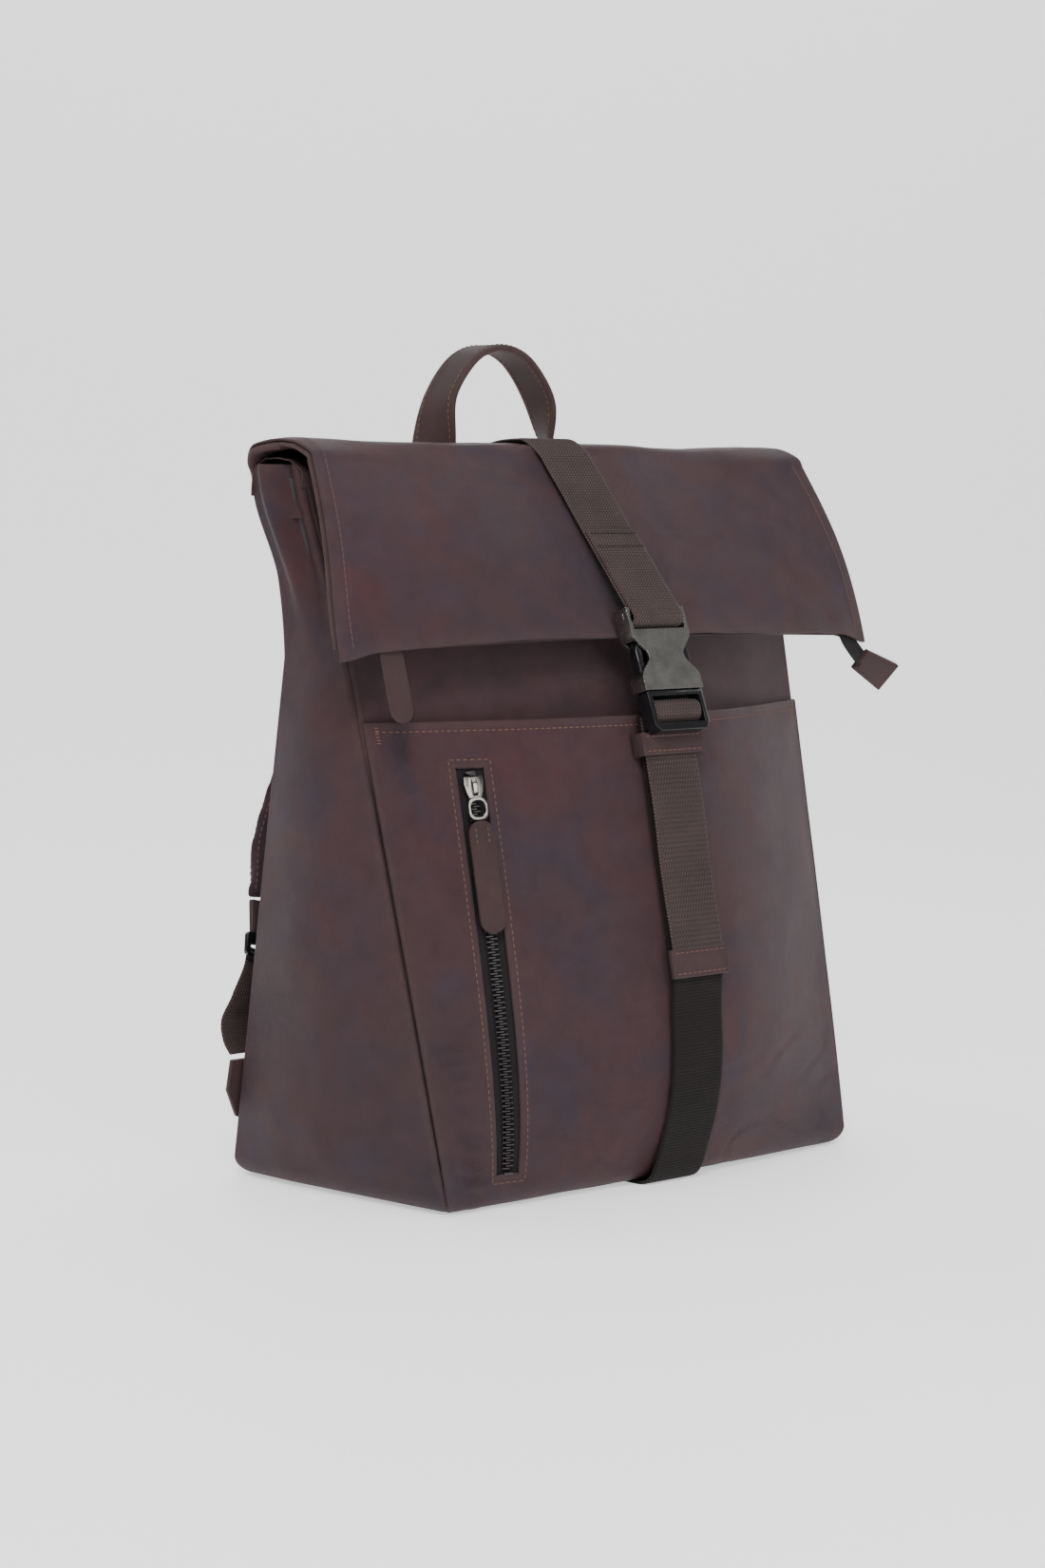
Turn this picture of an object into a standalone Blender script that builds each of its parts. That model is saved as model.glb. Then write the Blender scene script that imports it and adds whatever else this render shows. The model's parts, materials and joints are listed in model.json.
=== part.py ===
"""A roll-top leather backpack: tapered body, folded flap, webbing closure with a side-release buckle.

Metres, +Z up. The origin is the centre of the base, on the surface the bag stands on.
The front faces -Y and the wearer's back is at +Y. The wearer's shoulder straps are on the +Y side.
Soft panels are plain closed sheets at the right place; hard parts carry their real shape.
"""

import math

import bmesh
import bpy
from mathutils import Vector

# ---- driving dimensions -------------------------------------------------------------------

LEATHER = 0.0018            # thickness of the shell leather
CLEAR = 0.0003              # gap kept between neighbouring pieces
WEBBING = 0.0016            # thickness of the woven strap
WEBBING_WIDTH = 0.040

BASE_HALF_WIDTH = 0.160     # half width of the body at the floor
WIDENING = 0.049            # half width gained per metre of height
BASE_HALF_DEPTH = 0.0905    # front and back of the base from its centre
FRONT_LEAN = 0.215          # how far the front corners lean back per metre
BACK_LEAN = 0.220           # how far the back leans forward per metre
WAIST_HEIGHT = 0.290        # where the back stops leaning
NECK_TOP = 0.3870           # top edge of the neck, inside the fold
NECK_HALF_WIDTH = 0.186

STUFFING = 0.052            # how far the filled front bows out at the middle
STUFFING_RISE = 0.045       # height over which the bow builds up
POCKET_TOP = 0.256          # open edge of the front pocket
POCKET_SLACK = 0.325        # share of the bow that the panel behind the pocket gives up at its edge
NECK_BOW = 0.031            # bow of the front where the neck starts
POUCH_ROOM = 0.0038         # space behind the pocket panel for the zipped pouch
NECK_START = 0.300

FOLD_TOP = 0.4010           # top face of the folded roll
FOLD_HINGE_HEIGHT = 0.4025
BACK_HINGE_Y = 0.0260       # where the roll turns off the back panel
FRONT_HINGE_Y = -0.0100     # where the flap turns down off the roll
FOLD_HALF_WIDTH = 0.190
FOLD_DEPTH = 0.0120         # from the roll's outer skin to its inner skin

LIP_HALF_WIDTH = 0.205      # half width of the flap at its lower edge
LIP_Y = -0.0600             # lower corners of the flap
LIP_BOW = 0.0170            # how much further out the middle of the lower edge is
LIP_HEIGHT = 0.2950
LIP_RISE = 0.0060
FLAP_TOP_BOW = -0.0100      # the flap's top line runs further forward at its ends
FLAP_CROWN = 0.0040
FLAP_INNER_DEPTH = 0.0062   # from the flap's outer face to its inner ply

ZIP_X = -0.1195             # the upright zip in the front pocket
ZIP_SLOT_WIDTH = 0.0160
ZIP_SLOT_BOTTOM = 0.0180
ZIP_SLOT_TOP = 0.2330

STRAP_DROP = Vector((0.0, -0.191, -0.9816))    # down the front webbing
STRAP_OUT = Vector((0.0, -0.9816, 0.191))      # away from the bag there
STRAP_REF = Vector((0.0, -0.0948, 0.2475))     # a point on the front webbing's outer face

BUCKLE_TOP = Vector((0.0, -0.0793, 0.3138))    # middle of the buckle's upper bar
BUCKLE_DROP = Vector((0.0, -0.342, -0.9397))
BUCKLE_OUT = Vector((0.0, -0.9397, 0.342))
FEMALE_LENGTH = 0.047
FEMALE_HALF_WIDTH = 0.0225
FEMALE_WAIST = 0.0135
FEMALE_HALF_THICK = 0.0052
BUCKLE_LENGTH = 0.0700

HANDLE_FOOT = Vector((0.0, 0.0400, 0.3630))    # the line the handle folds about
HANDLE_HALF_SPAN = 0.0500
HANDLE_TOP = 0.4600
HANDLE_WIDTH = 0.0250
HANDLE_THICK = 0.0032

SHOULDER_TOP = Vector((-0.0500, 0.0390, 0.3090))   # where the left shoulder strap is sewn in
SHOULDER_LOW = Vector((-0.1500, 0.0800, 0.0640))   # its lower anchor

MOUTH_SLIDER_X = -0.1720    # the mouth zip's runner sits at its left end
MOUTH_SLIDER_Z = 0.3105
MOUTH_SLIDER_HALF = Vector((0.0050, 0.0028, 0.0013))
MOUTH_DEPTH = 0.0041        # from the flap's outer face to the middle of its zip
MOUTH_PULL_DROP = Vector((0.0, -0.2588, -0.9659))
MOUTH_ARC_Y = 1.2120        # centre of the arc that the lip follows in plan
FRONT_SLIDER_Z = 0.2275
FRONT_ARC_Y = 0.9840        # centre of the arc that the upright zip follows in side view
FRONT_ARC_Z = -0.0360
FRONT_PULL_AT = 0.0112      # down from the runner's top to the axis its puller turns about

KEEPER_LENGTH = 0.0210
TAIL_START = 0.0345          # where the webbing's loose tail begins, clear of the sliding buckle
ARM_ROOT = 0.0414           # where the buckle's arms flex, down from its upper bar
ARM_OFFSET = 0.0165

STEEL = ((0.46, 0.44, 0.42), 0.30, 1.0)
BLACK = ((0.035, 0.036, 0.040), 0.30, 0.0)
HIDE = ((0.115, 0.078, 0.075), 0.50, 0.0)
HIDE_DARK = ((0.080, 0.055, 0.056), 0.55, 0.0)
WOVEN = ((0.060, 0.046, 0.041), 0.85, 0.0)
CLOTH = ((0.030, 0.028, 0.030), 0.90, 0.0)
FOAM = ((0.120, 0.120, 0.125), 0.95, 0.0)
BOARD = ((0.300, 0.250, 0.190), 0.90, 0.0)


# ---- the body's outline --------------------------------------------------------------------

def ease(t):
    """0 to 1, flat at both ends."""
    t = min(1.0, max(0.0, t))
    return t * t * (3 - 2 * t)


def half_width(z):
    """Half width of the body at height z."""
    flare = NECK_HALF_WIDTH - BASE_HALF_WIDTH - WIDENING * NECK_TOP
    rise = (z - NECK_START) / (NECK_TOP - NECK_START)
    return BASE_HALF_WIDTH + WIDENING * z + flare * ease(rise)


def corner_front(z):
    return -BASE_HALF_DEPTH + FRONT_LEAN * z


def back_face(z):
    """Outer face of the back panel: leans in, stands up, then swells into the roll."""
    waist = BASE_HALF_DEPTH - BACK_LEAN * WAIST_HEIGHT
    if z < WAIST_HEIGHT:
        return BASE_HALF_DEPTH - BACK_LEAN * z
    swell = 0.0120 * ease((z - 0.330) / 0.050)
    return waist + swell


def across(x, z):
    """1 in the middle of the front, 0 at its corners."""
    return math.cos(math.pi / 2 * min(1.0, abs(x) / half_width(z)))


def bow(z):
    """How far the filled front stands out in the middle at height z."""
    return STUFFING * (1 - math.exp(-z / STUFFING_RISE))


def pocket_face(x, z):
    return corner_front(z) - bow(z) * across(x, z)


def body_face(x, z):
    """Front of the main body, behind the pocket panel and up to the neck's edge."""
    if z <= POCKET_TOP:
        out = bow(z) * (1 - POCKET_SLACK * (z / POCKET_TOP) ** 2)
    elif z <= NECK_START:
        top = bow(POCKET_TOP) * (1 - POCKET_SLACK)
        out = top + (NECK_BOW - top) * (z - POCKET_TOP) / (NECK_START - POCKET_TOP)
    else:
        out = 0.001 + (NECK_BOW - 0.001) * (NECK_TOP - z) / (NECK_TOP - NECK_START)
    room = POUCH_ROOM * (1 - ease((z - 0.200) / (POCKET_TOP - 0.200)))
    return corner_front(z) + LEATHER + CLEAR + room - out * across(x, z)


def flap_point(x, t, depth):
    """A point of the flap: t runs from its top line (0) to its lip (1), depth goes inwards."""
    middle = max(0.0, 1 - (x / LIP_HALF_WIDTH) ** 2)
    top = Vector((0, -0.020 - FLAP_TOP_BOW * middle, FOLD_TOP))
    lip = Vector((0, LIP_Y - LIP_BOW * middle, LIP_HEIGHT + LIP_RISE * middle))
    along = (lip - top).normalized()
    out = Vector((0, along.z, -along.y))
    crown = FLAP_CROWN * math.sin(math.pi * min(1.0, max(0.0, t)))
    point = top.lerp(lip, t) + out * (crown - depth)
    return Vector((x, point.y, point.z))


def flap_half_width(t):
    return FOLD_HALF_WIDTH + (LIP_HALF_WIDTH - FOLD_HALF_WIDTH) * t


def on_strap(x, down, out):
    """A point by the front webbing: down along it from STRAP_REF, out from its outer face."""
    return STRAP_REF + Vector((x, 0, 0)) + STRAP_DROP * down + STRAP_OUT * out


def on_buckle(x, down, out):
    return BUCKLE_TOP + Vector((x, 0, 0)) + BUCKLE_DROP * down + BUCKLE_OUT * out


# ---- making objects ------------------------------------------------------------------------

def steps(low, high, count):
    """count + 1 even values from low to high."""
    return [low + (high - low) * i / count for i in range(count + 1)]


def material(name, finish):
    colour, rough, metal = finish
    mat = bpy.data.materials.new(name)
    mat.use_nodes = True
    shader = mat.node_tree.nodes["Principled BSDF"]
    shader.inputs["Base Color"].default_value = (*colour, 1)
    shader.inputs["Roughness"].default_value = rough
    shader.inputs["Metallic"].default_value = metal
    mat.diffuse_color = (*colour, 1)
    return mat


def finish_mesh(name, mesh_build, finish):
    """Turns a bmesh into a named object whose faces point out."""
    bmesh.ops.recalc_face_normals(mesh_build, faces=mesh_build.faces)
    if mesh_build.calc_volume(signed=True) < 0:
        bmesh.ops.reverse_faces(mesh_build, faces=mesh_build.faces)
    mesh = bpy.data.meshes.new(name)
    mesh_build.to_mesh(mesh)
    mesh_build.free()
    mesh.materials.append(material(name, finish))
    obj = bpy.data.objects.new(name, mesh)
    bpy.context.scene.collection.objects.link(obj)
    return obj


def sheet(name, us, vs, outside, inside, finish, hole=None):
    """A closed sheet between two surfaces of (u, v), without the grid cells where hole is true."""
    build = bmesh.new()
    outer = [[build.verts.new(outside(u, v)) for v in vs] for u in us]
    inner = [[build.verts.new(inside(u, v)) for v in vs] for u in us]
    edges = {}
    for i in range(len(us) - 1):
        for j in range(len(vs) - 1):
            if hole and hole((us[i] + us[i + 1]) / 2, (vs[j] + vs[j + 1]) / 2):
                continue
            ring = [(i, j), (i + 1, j), (i + 1, j + 1), (i, j + 1)]
            build.faces.new([outer[a][b] for a, b in ring])
            build.faces.new([inner[a][b] for a, b in reversed(ring)])
            for a, b in zip(ring, ring[1:] + ring[:1]):
                edges.setdefault(frozenset((a, b)), []).append((a, b))
    for uses in edges.values():
        if len(uses) == 1:
            (a, b), (c, d) = uses[0]
            build.faces.new([outer[c][d], outer[a][b], inner[a][b], inner[c][d]])
    bmesh.ops.delete(build, geom=[v for v in build.verts if not v.link_faces], context="VERTS")
    return finish_mesh(name, build, finish)


def prism(name, outline, place, low, high, finish):
    """A closed outline of (a, b) pairs pushed from low to high; place(a, b, c) gives the point."""
    build = bmesh.new()
    ends = [[build.verts.new(place(a, b, c)) for a, b in outline] for c in (low, high)]
    build.faces.new(ends[0])
    build.faces.new(list(reversed(ends[1])))
    count = len(outline)
    for i in range(count):
        j = (i + 1) % count
        build.faces.new([ends[0][i], ends[0][j], ends[1][j], ends[1][i]])
    return finish_mesh(name, build, finish)


def loft(name, rings, finish, closed=False):
    """Skins a list of equal rings, capped at both ends or closed into a loop."""
    build = bmesh.new()
    made = [[build.verts.new(p) for p in ring] for ring in rings]
    count = len(rings[0])
    pairs = list(zip(made, made[1:])) + ([(made[-1], made[0])] if closed else [])
    for one, two in pairs:
        for i in range(count):
            j = (i + 1) % count
            build.faces.new([one[i], one[j], two[j], two[i]])
    if not closed:
        build.faces.new(list(reversed(made[0])))
        build.faces.new(made[-1])
    return finish_mesh(name, build, finish)


def ribbon(name, path, sides, widths, thick, finish):
    """A flat strap along path. sides are its width directions, widths its full widths."""
    rings = []
    last = len(path) - 1
    for i, point in enumerate(path):
        along = (path[min(i + 1, last)] - path[max(i - 1, 0)]).normalized()
        side = (sides[i] - along * sides[i].dot(along)).normalized()
        up = side.cross(along).normalized()
        across_by, up_by = side * widths[i] / 2, up * thick / 2
        rings.append([point - across_by - up_by, point + across_by - up_by,
                      point + across_by + up_by, point - across_by + up_by])
    return loft(name, rings, finish)


def smooth_path(points, count):
    """A smooth curve through the points, as count + 1 points (Catmull-Rom)."""
    ext = [points[0] * 2 - points[1]] + list(points) + [points[-1] * 2 - points[-2]]
    spans = len(points) - 1
    out = []
    for step in range(count + 1):
        at = step / count * spans
        k = min(int(at), spans - 1)
        t = at - k
        a, b, c, d = ext[k:k + 4]
        out.append(0.5 * (2 * b + (c - a) * t + (2 * a - 5 * b + 4 * c - d) * t * t
                          + (3 * b - a - 3 * c + d) * t ** 3))
    return out


def rounded(width, length, radius, segments=4):
    """Outline of a rectangle from (-width/2, 0) to (width/2, length) with rounded corners."""
    out = []
    centres = [(width / 2 - radius, radius, -90), (width / 2 - radius, length - radius, 0),
               (radius - width / 2, length - radius, 90), (radius - width / 2, radius, 180)]
    for cx, cy, start in centres:
        for k in range(segments + 1):
            turn = math.radians(start + 90 * k / segments)
            out.append((cx + radius * math.cos(turn), cy + radius * math.sin(turn)))
    return out


def cut(obj, cutter):
    """Takes the cutter's solid out of obj and leaves the cutter hidden."""
    boolean = obj.modifiers.new("cut_" + cutter.name, "BOOLEAN")
    boolean.object = cutter
    boolean.operation = "DIFFERENCE"
    cutter.parent = obj
    cutter.hide_render = True
    cutter.display_type = "WIRE"


def fuse(obj, added):
    """Joins the added solid to obj and leaves the added object hidden."""
    boolean = obj.modifiers.new("fuse_" + added.name, "BOOLEAN")
    boolean.object = added
    boolean.operation = "UNION"
    added.parent = obj
    added.hide_render = True
    added.display_type = "WIRE"


def mirrored(point):
    return Vector((-point.x, point.y, point.z))


def frame_on(seat, beside, below):
    """A function that places points by a surface: across it, down it and out from it."""
    down = (below - seat).normalized()
    level = beside - seat
    level = (level - down * level.dot(down)).normalized()
    out = down.cross(level)
    return lambda a, b, c: seat + level * a + down * b + out * c


def loop_ring(name, size, bar, radius, place, half_thick, finish):
    """A flat ring of size (width, length) whose bar has one width all round."""
    outer = rounded(*size, radius, 3)
    hole = rounded(size[0] - 2 * bar, size[1] - 2 * bar, radius - bar / 2, 3)
    rings = []
    for (ax, ay), (bx, by) in zip(outer, hole):
        rings.append([place(ax, ay, -half_thick), place(bx, by + bar, -half_thick),
                      place(bx, by + bar, half_thick), place(ax, ay, half_thick)])
    return loft(name, rings, finish, closed=True)


# ---- the shell of the bag ------------------------------------------------------------------

SHELL_HEIGHTS = [0.0030, 0.060, 0.120, 0.180, 0.240, WAIST_HEIGHT, NECK_START, 0.330, 0.345,
                 0.360, 0.370, 0.380]


def shell_columns(count, inset=LEATHER + CLEAR):
    """u values from -1 to 1 and a function that turns (u, z) into x inside the side gussets."""
    return steps(-1, 1, count), lambda u, z: u * (half_width(z) - inset)


def front_panels():
    columns, x_at = shell_columns(14)
    heights = [0.0030, 0.012, 0.026, 0.045, 0.070, 0.105, 0.145, 0.185, 0.225, POCKET_TOP,
               0.278, NECK_START, 0.322, 0.344, 0.366, NECK_TOP]

    def outside(u, z):
        x = x_at(u, z)
        return Vector((x, body_face(x, z), z))

    def inside(u, z):
        return outside(u, z) + Vector((0, LEATHER, 0))

    sheet("front_panel", columns, heights, outside, inside, HIDE_DARK)

    slot_left = ZIP_X - ZIP_SLOT_WIDTH / 2
    slot_right = ZIP_X + ZIP_SLOT_WIDTH / 2
    xs = [-1, -0.92, -0.84, slot_left, slot_right, -0.55, -0.40, -0.25, -0.10, 0.05,
          0.20, 0.35, 0.50, 0.65, 0.80, 0.90, 1]
    zs = [0.0030, 0.010, ZIP_SLOT_BOTTOM, 0.032, 0.050, 0.075, 0.105, 0.140, 0.175,
          0.205, ZIP_SLOT_TOP, 0.245, POCKET_TOP]

    def pocket_outside(u, z):
        x = u if slot_left - 1e-6 <= u <= slot_right + 1e-6 else x_at(u, z)
        return Vector((x, pocket_face(x, z), z))

    def pocket_inside(u, z):
        return pocket_outside(u, z) + Vector((0, LEATHER, 0))

    def in_slot(u, z):
        return slot_left < u < slot_right and ZIP_SLOT_BOTTOM < z < ZIP_SLOT_TOP

    sheet("front_pocket_panel", xs, zs, pocket_outside, pocket_inside, HIDE, in_slot)


def side_gussets():
    """The tapered sides, from the front corner to the back corner, up to the neck's edge."""
    heights = SHELL_HEIGHTS + [NECK_TOP]
    for side, name in ((-1, "side_gusset_left"), (1, "side_gusset_right")):

        def outside(u, z, side=side):
            y = corner_front(z) + u * (back_face(z) - corner_front(z))
            return Vector((side * half_width(z), y, z))

        def inside(u, z, side=side):
            return outside(u, z) - Vector((side * LEATHER, 0, 0))

        sheet(name, steps(0, 1, 4), heights, outside, inside, HIDE)


def back_panel():
    """The back rises past the neck and curls over the top as far as the roll's back hinge."""
    columns, x_at = shell_columns(6)
    straight = SHELL_HEIGHTS
    curl = 5
    top_y = back_face(0.380)
    reach = top_y - BACK_HINGE_Y - CLEAR
    rise = FOLD_TOP - 0.380

    def profile(v):
        """Height index v gives the outer and inner (y, z) of the panel."""
        if v < len(straight):
            z = straight[v]
            return back_face(z), z, 1.0, 0.0
        turn = math.pi / 2 * (v - len(straight) + 1) / curl
        return (BACK_HINGE_Y + CLEAR + reach * math.cos(turn), 0.380 + rise * math.sin(turn),
                math.cos(turn), math.sin(turn))

    def outside(u, v):
        y, z, _, _ = profile(v)
        return Vector((x_at(u, min(z, NECK_TOP)), y, z))

    def inside(u, v):
        y, z, out_y, out_z = profile(v)
        return Vector((x_at(u, min(z, NECK_TOP)), y - LEATHER * out_y, z - LEATHER * out_z))

    rows = list(range(len(straight) + curl))
    sheet("back_panel", columns, rows, outside, inside, HIDE)


def base():
    """The base leather, with a shallow channel where the webbing passes under, and its board."""
    channel = WEBBING_WIDTH / 2 + 0.0008
    channel_end = -0.018
    xs = [-BASE_HALF_WIDTH, -channel - 0.0004, -channel, channel, channel + 0.0004, BASE_HALF_WIDTH]
    ys = [-BASE_HALF_DEPTH - 0.001, channel_end, channel_end + 0.0006, BASE_HALF_DEPTH]
    lift = WEBBING + CLEAR

    def under(x, y):
        inside_channel = abs(x) < channel + 1e-6 and y < channel_end + 1e-6
        return Vector((x, y, lift if inside_channel else 0.0))

    def over(x, y):
        return Vector((x, y, 0.0027))

    sheet("base_panel", xs, ys, under, over, HIDE)
    board = rounded(0.296, 0.150, 0.012)
    prism("base_board", board, lambda a, b, c: Vector((a, b - 0.075, c)), 0.0031, 0.0055, BOARD)


def lining():
    """The cloth bag inside: a thin cup that follows the shell, open at the neck."""
    inset = LEATHER + 0.0012
    cloth = 0.0007
    levels = [0.0062, 0.030, 0.070, 0.120, 0.180, 0.240, WAIST_HEIGHT, 0.322, 0.345,
              NECK_TOP - 0.002]
    count = 8

    def ring(z, extra):
        half = half_width(z) - inset - extra
        front_gap = inset + 0.0016 + extra
        front = [Vector((x, body_face(x, z) + front_gap, z)) for x in steps(-half, half, count)]
        back_y = back_face(z) - LEATHER - 0.0072 - extra
        back = [Vector((x, back_y, z)) for x in steps(half, -half, count)]
        return front + back

    build = bmesh.new()
    outer = [[build.verts.new(p) for p in ring(z, 0)] for z in levels]
    lifted = [levels[0] + cloth] + levels[1:]
    inner = [[build.verts.new(p) for p in ring(z, cloth)] for z in lifted]
    size = len(outer[0])
    for rings in (outer, inner):
        for one, two in zip(rings, rings[1:]):
            for i in range(size):
                j = (i + 1) % size
                build.faces.new([one[i], one[j], two[j], two[i]])
        build.faces.new(rings[0])
    for i in range(size):
        j = (i + 1) % size
        build.faces.new([outer[-1][i], outer[-1][j], inner[-1][j], inner[-1][i]])
    finish_mesh("lining", build, CLOTH)


def back_padding():
    """Foam between the back leather and the lining."""
    heights = [0.012, 0.150, WAIST_HEIGHT, 0.322]

    def face(u, z):
        return Vector((u * 0.142, back_face(z) - LEATHER - 0.0005, z))

    def inner(u, z):
        return face(u, z) - Vector((0, 0.0060, 0))

    sheet("back_foam", steps(-1, 1, 2), heights, face, inner, FOAM)


def pocket_bag():
    """The flat cloth pouch that the upright zip opens into, hung behind the pocket panel."""
    xs = steps(-0.146, -0.050, 5)
    zs = [0.014, 0.026, 0.045, 0.070, 0.105, 0.145, 0.185, 0.225, 0.246]

    def face(depth):
        return lambda x, z: Vector((x, pocket_face(x, z) + LEATHER + depth, z))

    sheet("zip_pocket_bag", xs, zs, face(0.0021), face(0.0030), CLOTH)


def back_yoke():
    """The stitched patch that holds the handle, the closure webbing and the shoulder straps."""
    zs = [0.318, 0.330, 0.345, 0.360]

    def face(depth):
        return lambda x, z: Vector((x, back_face(z) + depth, z))

    sheet("back_yoke", steps(-0.085, 0.085, 2), zs, face(0.0022), face(CLEAR), HIDE)


# ---- the roll and its flap -----------------------------------------------------------------

def top_fold():
    """The flat top of the roll: outer skin over a gap, and the inner skin under it."""
    near, far = BACK_HINGE_Y - CLEAR, FRONT_HINGE_Y + CLEAR
    inner_top = FOLD_TOP - FOLD_DEPTH + LEATHER
    for name, back, z in (("top_fold_outer", near, FOLD_TOP),
                          ("top_fold_inner", 0.0180, inner_top)):

        def outside(u, v, back=back, z=z):
            return Vector((u * FOLD_HALF_WIDTH, back + (far - back) * v, z))

        def inside(u, v, back=back, z=z):
            return outside(u, v, back, z) - Vector((0, 0, LEATHER))

        sheet(name, steps(-1, 1, 4), steps(0, 1, 2), outside, inside, HIDE)


def flap():
    columns = steps(-1, 1, 10)
    rows = [0.0, 0.08, 0.22, 0.40, 0.60, 0.80, 1.0]

    def skin(depth, first, last):
        """A flap surface at a depth, its top edge kept in front of the hinge line."""
        def at(u, v):
            t = first + (last - first) * v
            point = flap_point(u * flap_half_width(t), t, depth)
            point.y = min(point.y, FRONT_HINGE_Y - CLEAR)
            return point
        return at

    sheet("flap_outer", columns, rows, skin(0, 0.003, 1), skin(LEATHER, 0.003, 1), HIDE)
    first, last = 0.03, 0.88
    sheet("flap_inner", columns, rows, skin(FLAP_INNER_DEPTH, first, last),
          skin(FLAP_INNER_DEPTH + LEATHER, first, last), HIDE_DARK)


def on_lip(x, z, depth):
    """A point of the flap by its height instead of its share of the length."""
    lip = LIP_HEIGHT + LIP_RISE * max(0.0, 1 - (x / LIP_HALF_WIDTH) ** 2)
    return flap_point(x, (FOLD_TOP - z) / (FOLD_TOP - lip), depth)


def by_mouth_slider(a, b, c):
    """Across, down and out from the middle of the mouth zip's runner."""
    seat = on_lip(MOUTH_SLIDER_X, MOUTH_SLIDER_Z, MOUTH_DEPTH)
    beside = on_lip(MOUTH_SLIDER_X + 0.004, MOUTH_SLIDER_Z, MOUTH_DEPTH)
    below = on_lip(MOUTH_SLIDER_X, MOUTH_SLIDER_Z - 0.010, MOUTH_DEPTH)
    return frame_on(seat, beside, below)(a, b, c)


def mouth_pull_axis():
    return by_mouth_slider(0, MOUTH_SLIDER_HALF.y + 0.0011, 0)


def mouth_zip():
    """The zip inside the lip, its runner and hanging puller, and the tape's end in its tab."""
    columns = steps(-1, 1, 10)
    half_length = 0.184

    def band(depth):
        return lambda u, z: on_lip(u * half_length, z, depth)

    sheet("mouth_zip_tape", columns, [0.3228, 0.3168], band(0.0034), band(0.0042), CLOTH)
    sheet("mouth_zip_teeth", columns, [0.3164, 0.3136], band(0.0028), band(0.0052), STEEL)

    half = MOUTH_SLIDER_HALF
    body = [(a, b - half.y) for a, b in rounded(2 * half.x, 2 * half.y, 0.0015, 3)]
    prism("mouth_zip_slider", body, by_mouth_slider, -half.z, half.z, STEEL)

    pivot = mouth_pull_axis()
    by_pull = frame_on(pivot, pivot + Vector((1, 0, 0)), pivot + MOUTH_PULL_DROP)
    loop_ring("mouth_pull_ring", (0.0070, 0.0074), 0.0013, 0.0024,
              lambda a, b, c: by_pull(a, b - 0.0007, c), 0.0007, STEEL)
    prism("mouth_puller", rounded(0.0150, 0.0422, 0.0070),
          lambda a, b, c: by_pull(a, b + 0.0070, c), -0.0012, 0.0012, HIDE)

    tape_end = Vector((0.1985, -0.0600, 0.2785))
    route = [on_lip(x, z, 0.0043) for x, z in ((0.1910, 0.3165), (0.1900, 0.3040))]
    route.append(on_lip(0.1900, 0.2935, 0.0048))
    ribbon("mouth_zip_tape_end", smooth_path(route + [tape_end], 6), [Vector((1, 0, 0))] * 7,
           [0.0100] * 7, 0.0020, CLOTH)

    along = Vector((0.9135, 0.0, -0.4067))
    twisted = Vector((0.3450, -0.5300, 0.7750)).normalized()
    on_tab = frame_on(tape_end, tape_end + twisted, tape_end + along)
    near, far = 0.0028, 0.0313
    flare = [(-0.0088, near), (0.0088, near), (0.0120, far), (-0.0120, far)]
    prism("mouth_zip_end_tab", flare, on_tab, -0.0022, 0.0022, HIDE)


# ---- the webbing closure -------------------------------------------------------------------

def closure_webbing():
    """The strap over the roll, in three stretches that meet at the roll's two hinge lines."""
    lift = CLEAR + WEBBING / 2
    back = [Vector((0, back_face(z) + lift, z)) for z in (0.3610, 0.3690, 0.3800)]
    top_y = back_face(0.380) + lift
    for k in range(1, 6):
        turn = math.pi / 2 * k / 5
        back.append(Vector((0, BACK_HINGE_Y + CLEAR + (top_y - BACK_HINGE_Y) * math.cos(turn),
                            0.380 + (FOLD_TOP + lift - 0.380) * math.sin(turn))))
    strip("closure_webbing_back", back)

    top = [Vector((0, y, FOLD_TOP + lift)) for y in steps(BACK_HINGE_Y - CLEAR,
                                                          FRONT_HINGE_Y + CLEAR, 2)]
    strip("closure_webbing_top", top)

    front = []
    for t in (0.03, 0.12, 0.25, 0.40, 0.55, 0.68, 0.78):
        front.append(flap_point(0, t, -lift - 0.0006 - 0.0022 * ease(t)))
    front.append(on_buckle(0, 0.0022, FEMALE_HALF_THICK + 0.0012))
    strip("closure_webbing_front", front)


def strip(name, path, width=WEBBING_WIDTH):
    """A length of webbing, level across."""
    count = len(path)
    return ribbon(name, path, [Vector((1, 0, 0))] * count, [width] * count, WEBBING, WOVEN)


def female_outline():
    """Half of the hourglass: full at both ends, drawn in where the fingers press."""
    shoulder, foot = 0.0150, 0.0400
    right = [(FEMALE_HALF_WIDTH, 0.0)]
    for s in steps(shoulder, foot, 10):
        pinch = math.sin(math.pi * (s - shoulder) / (foot - shoulder)) ** 2
        right.append((FEMALE_HALF_WIDTH - (FEMALE_HALF_WIDTH - FEMALE_WAIST) * pinch, s))
    right.append((FEMALE_HALF_WIDTH, FEMALE_LENGTH))
    return right + [(-x, s) for x, s in reversed(right)]


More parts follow.
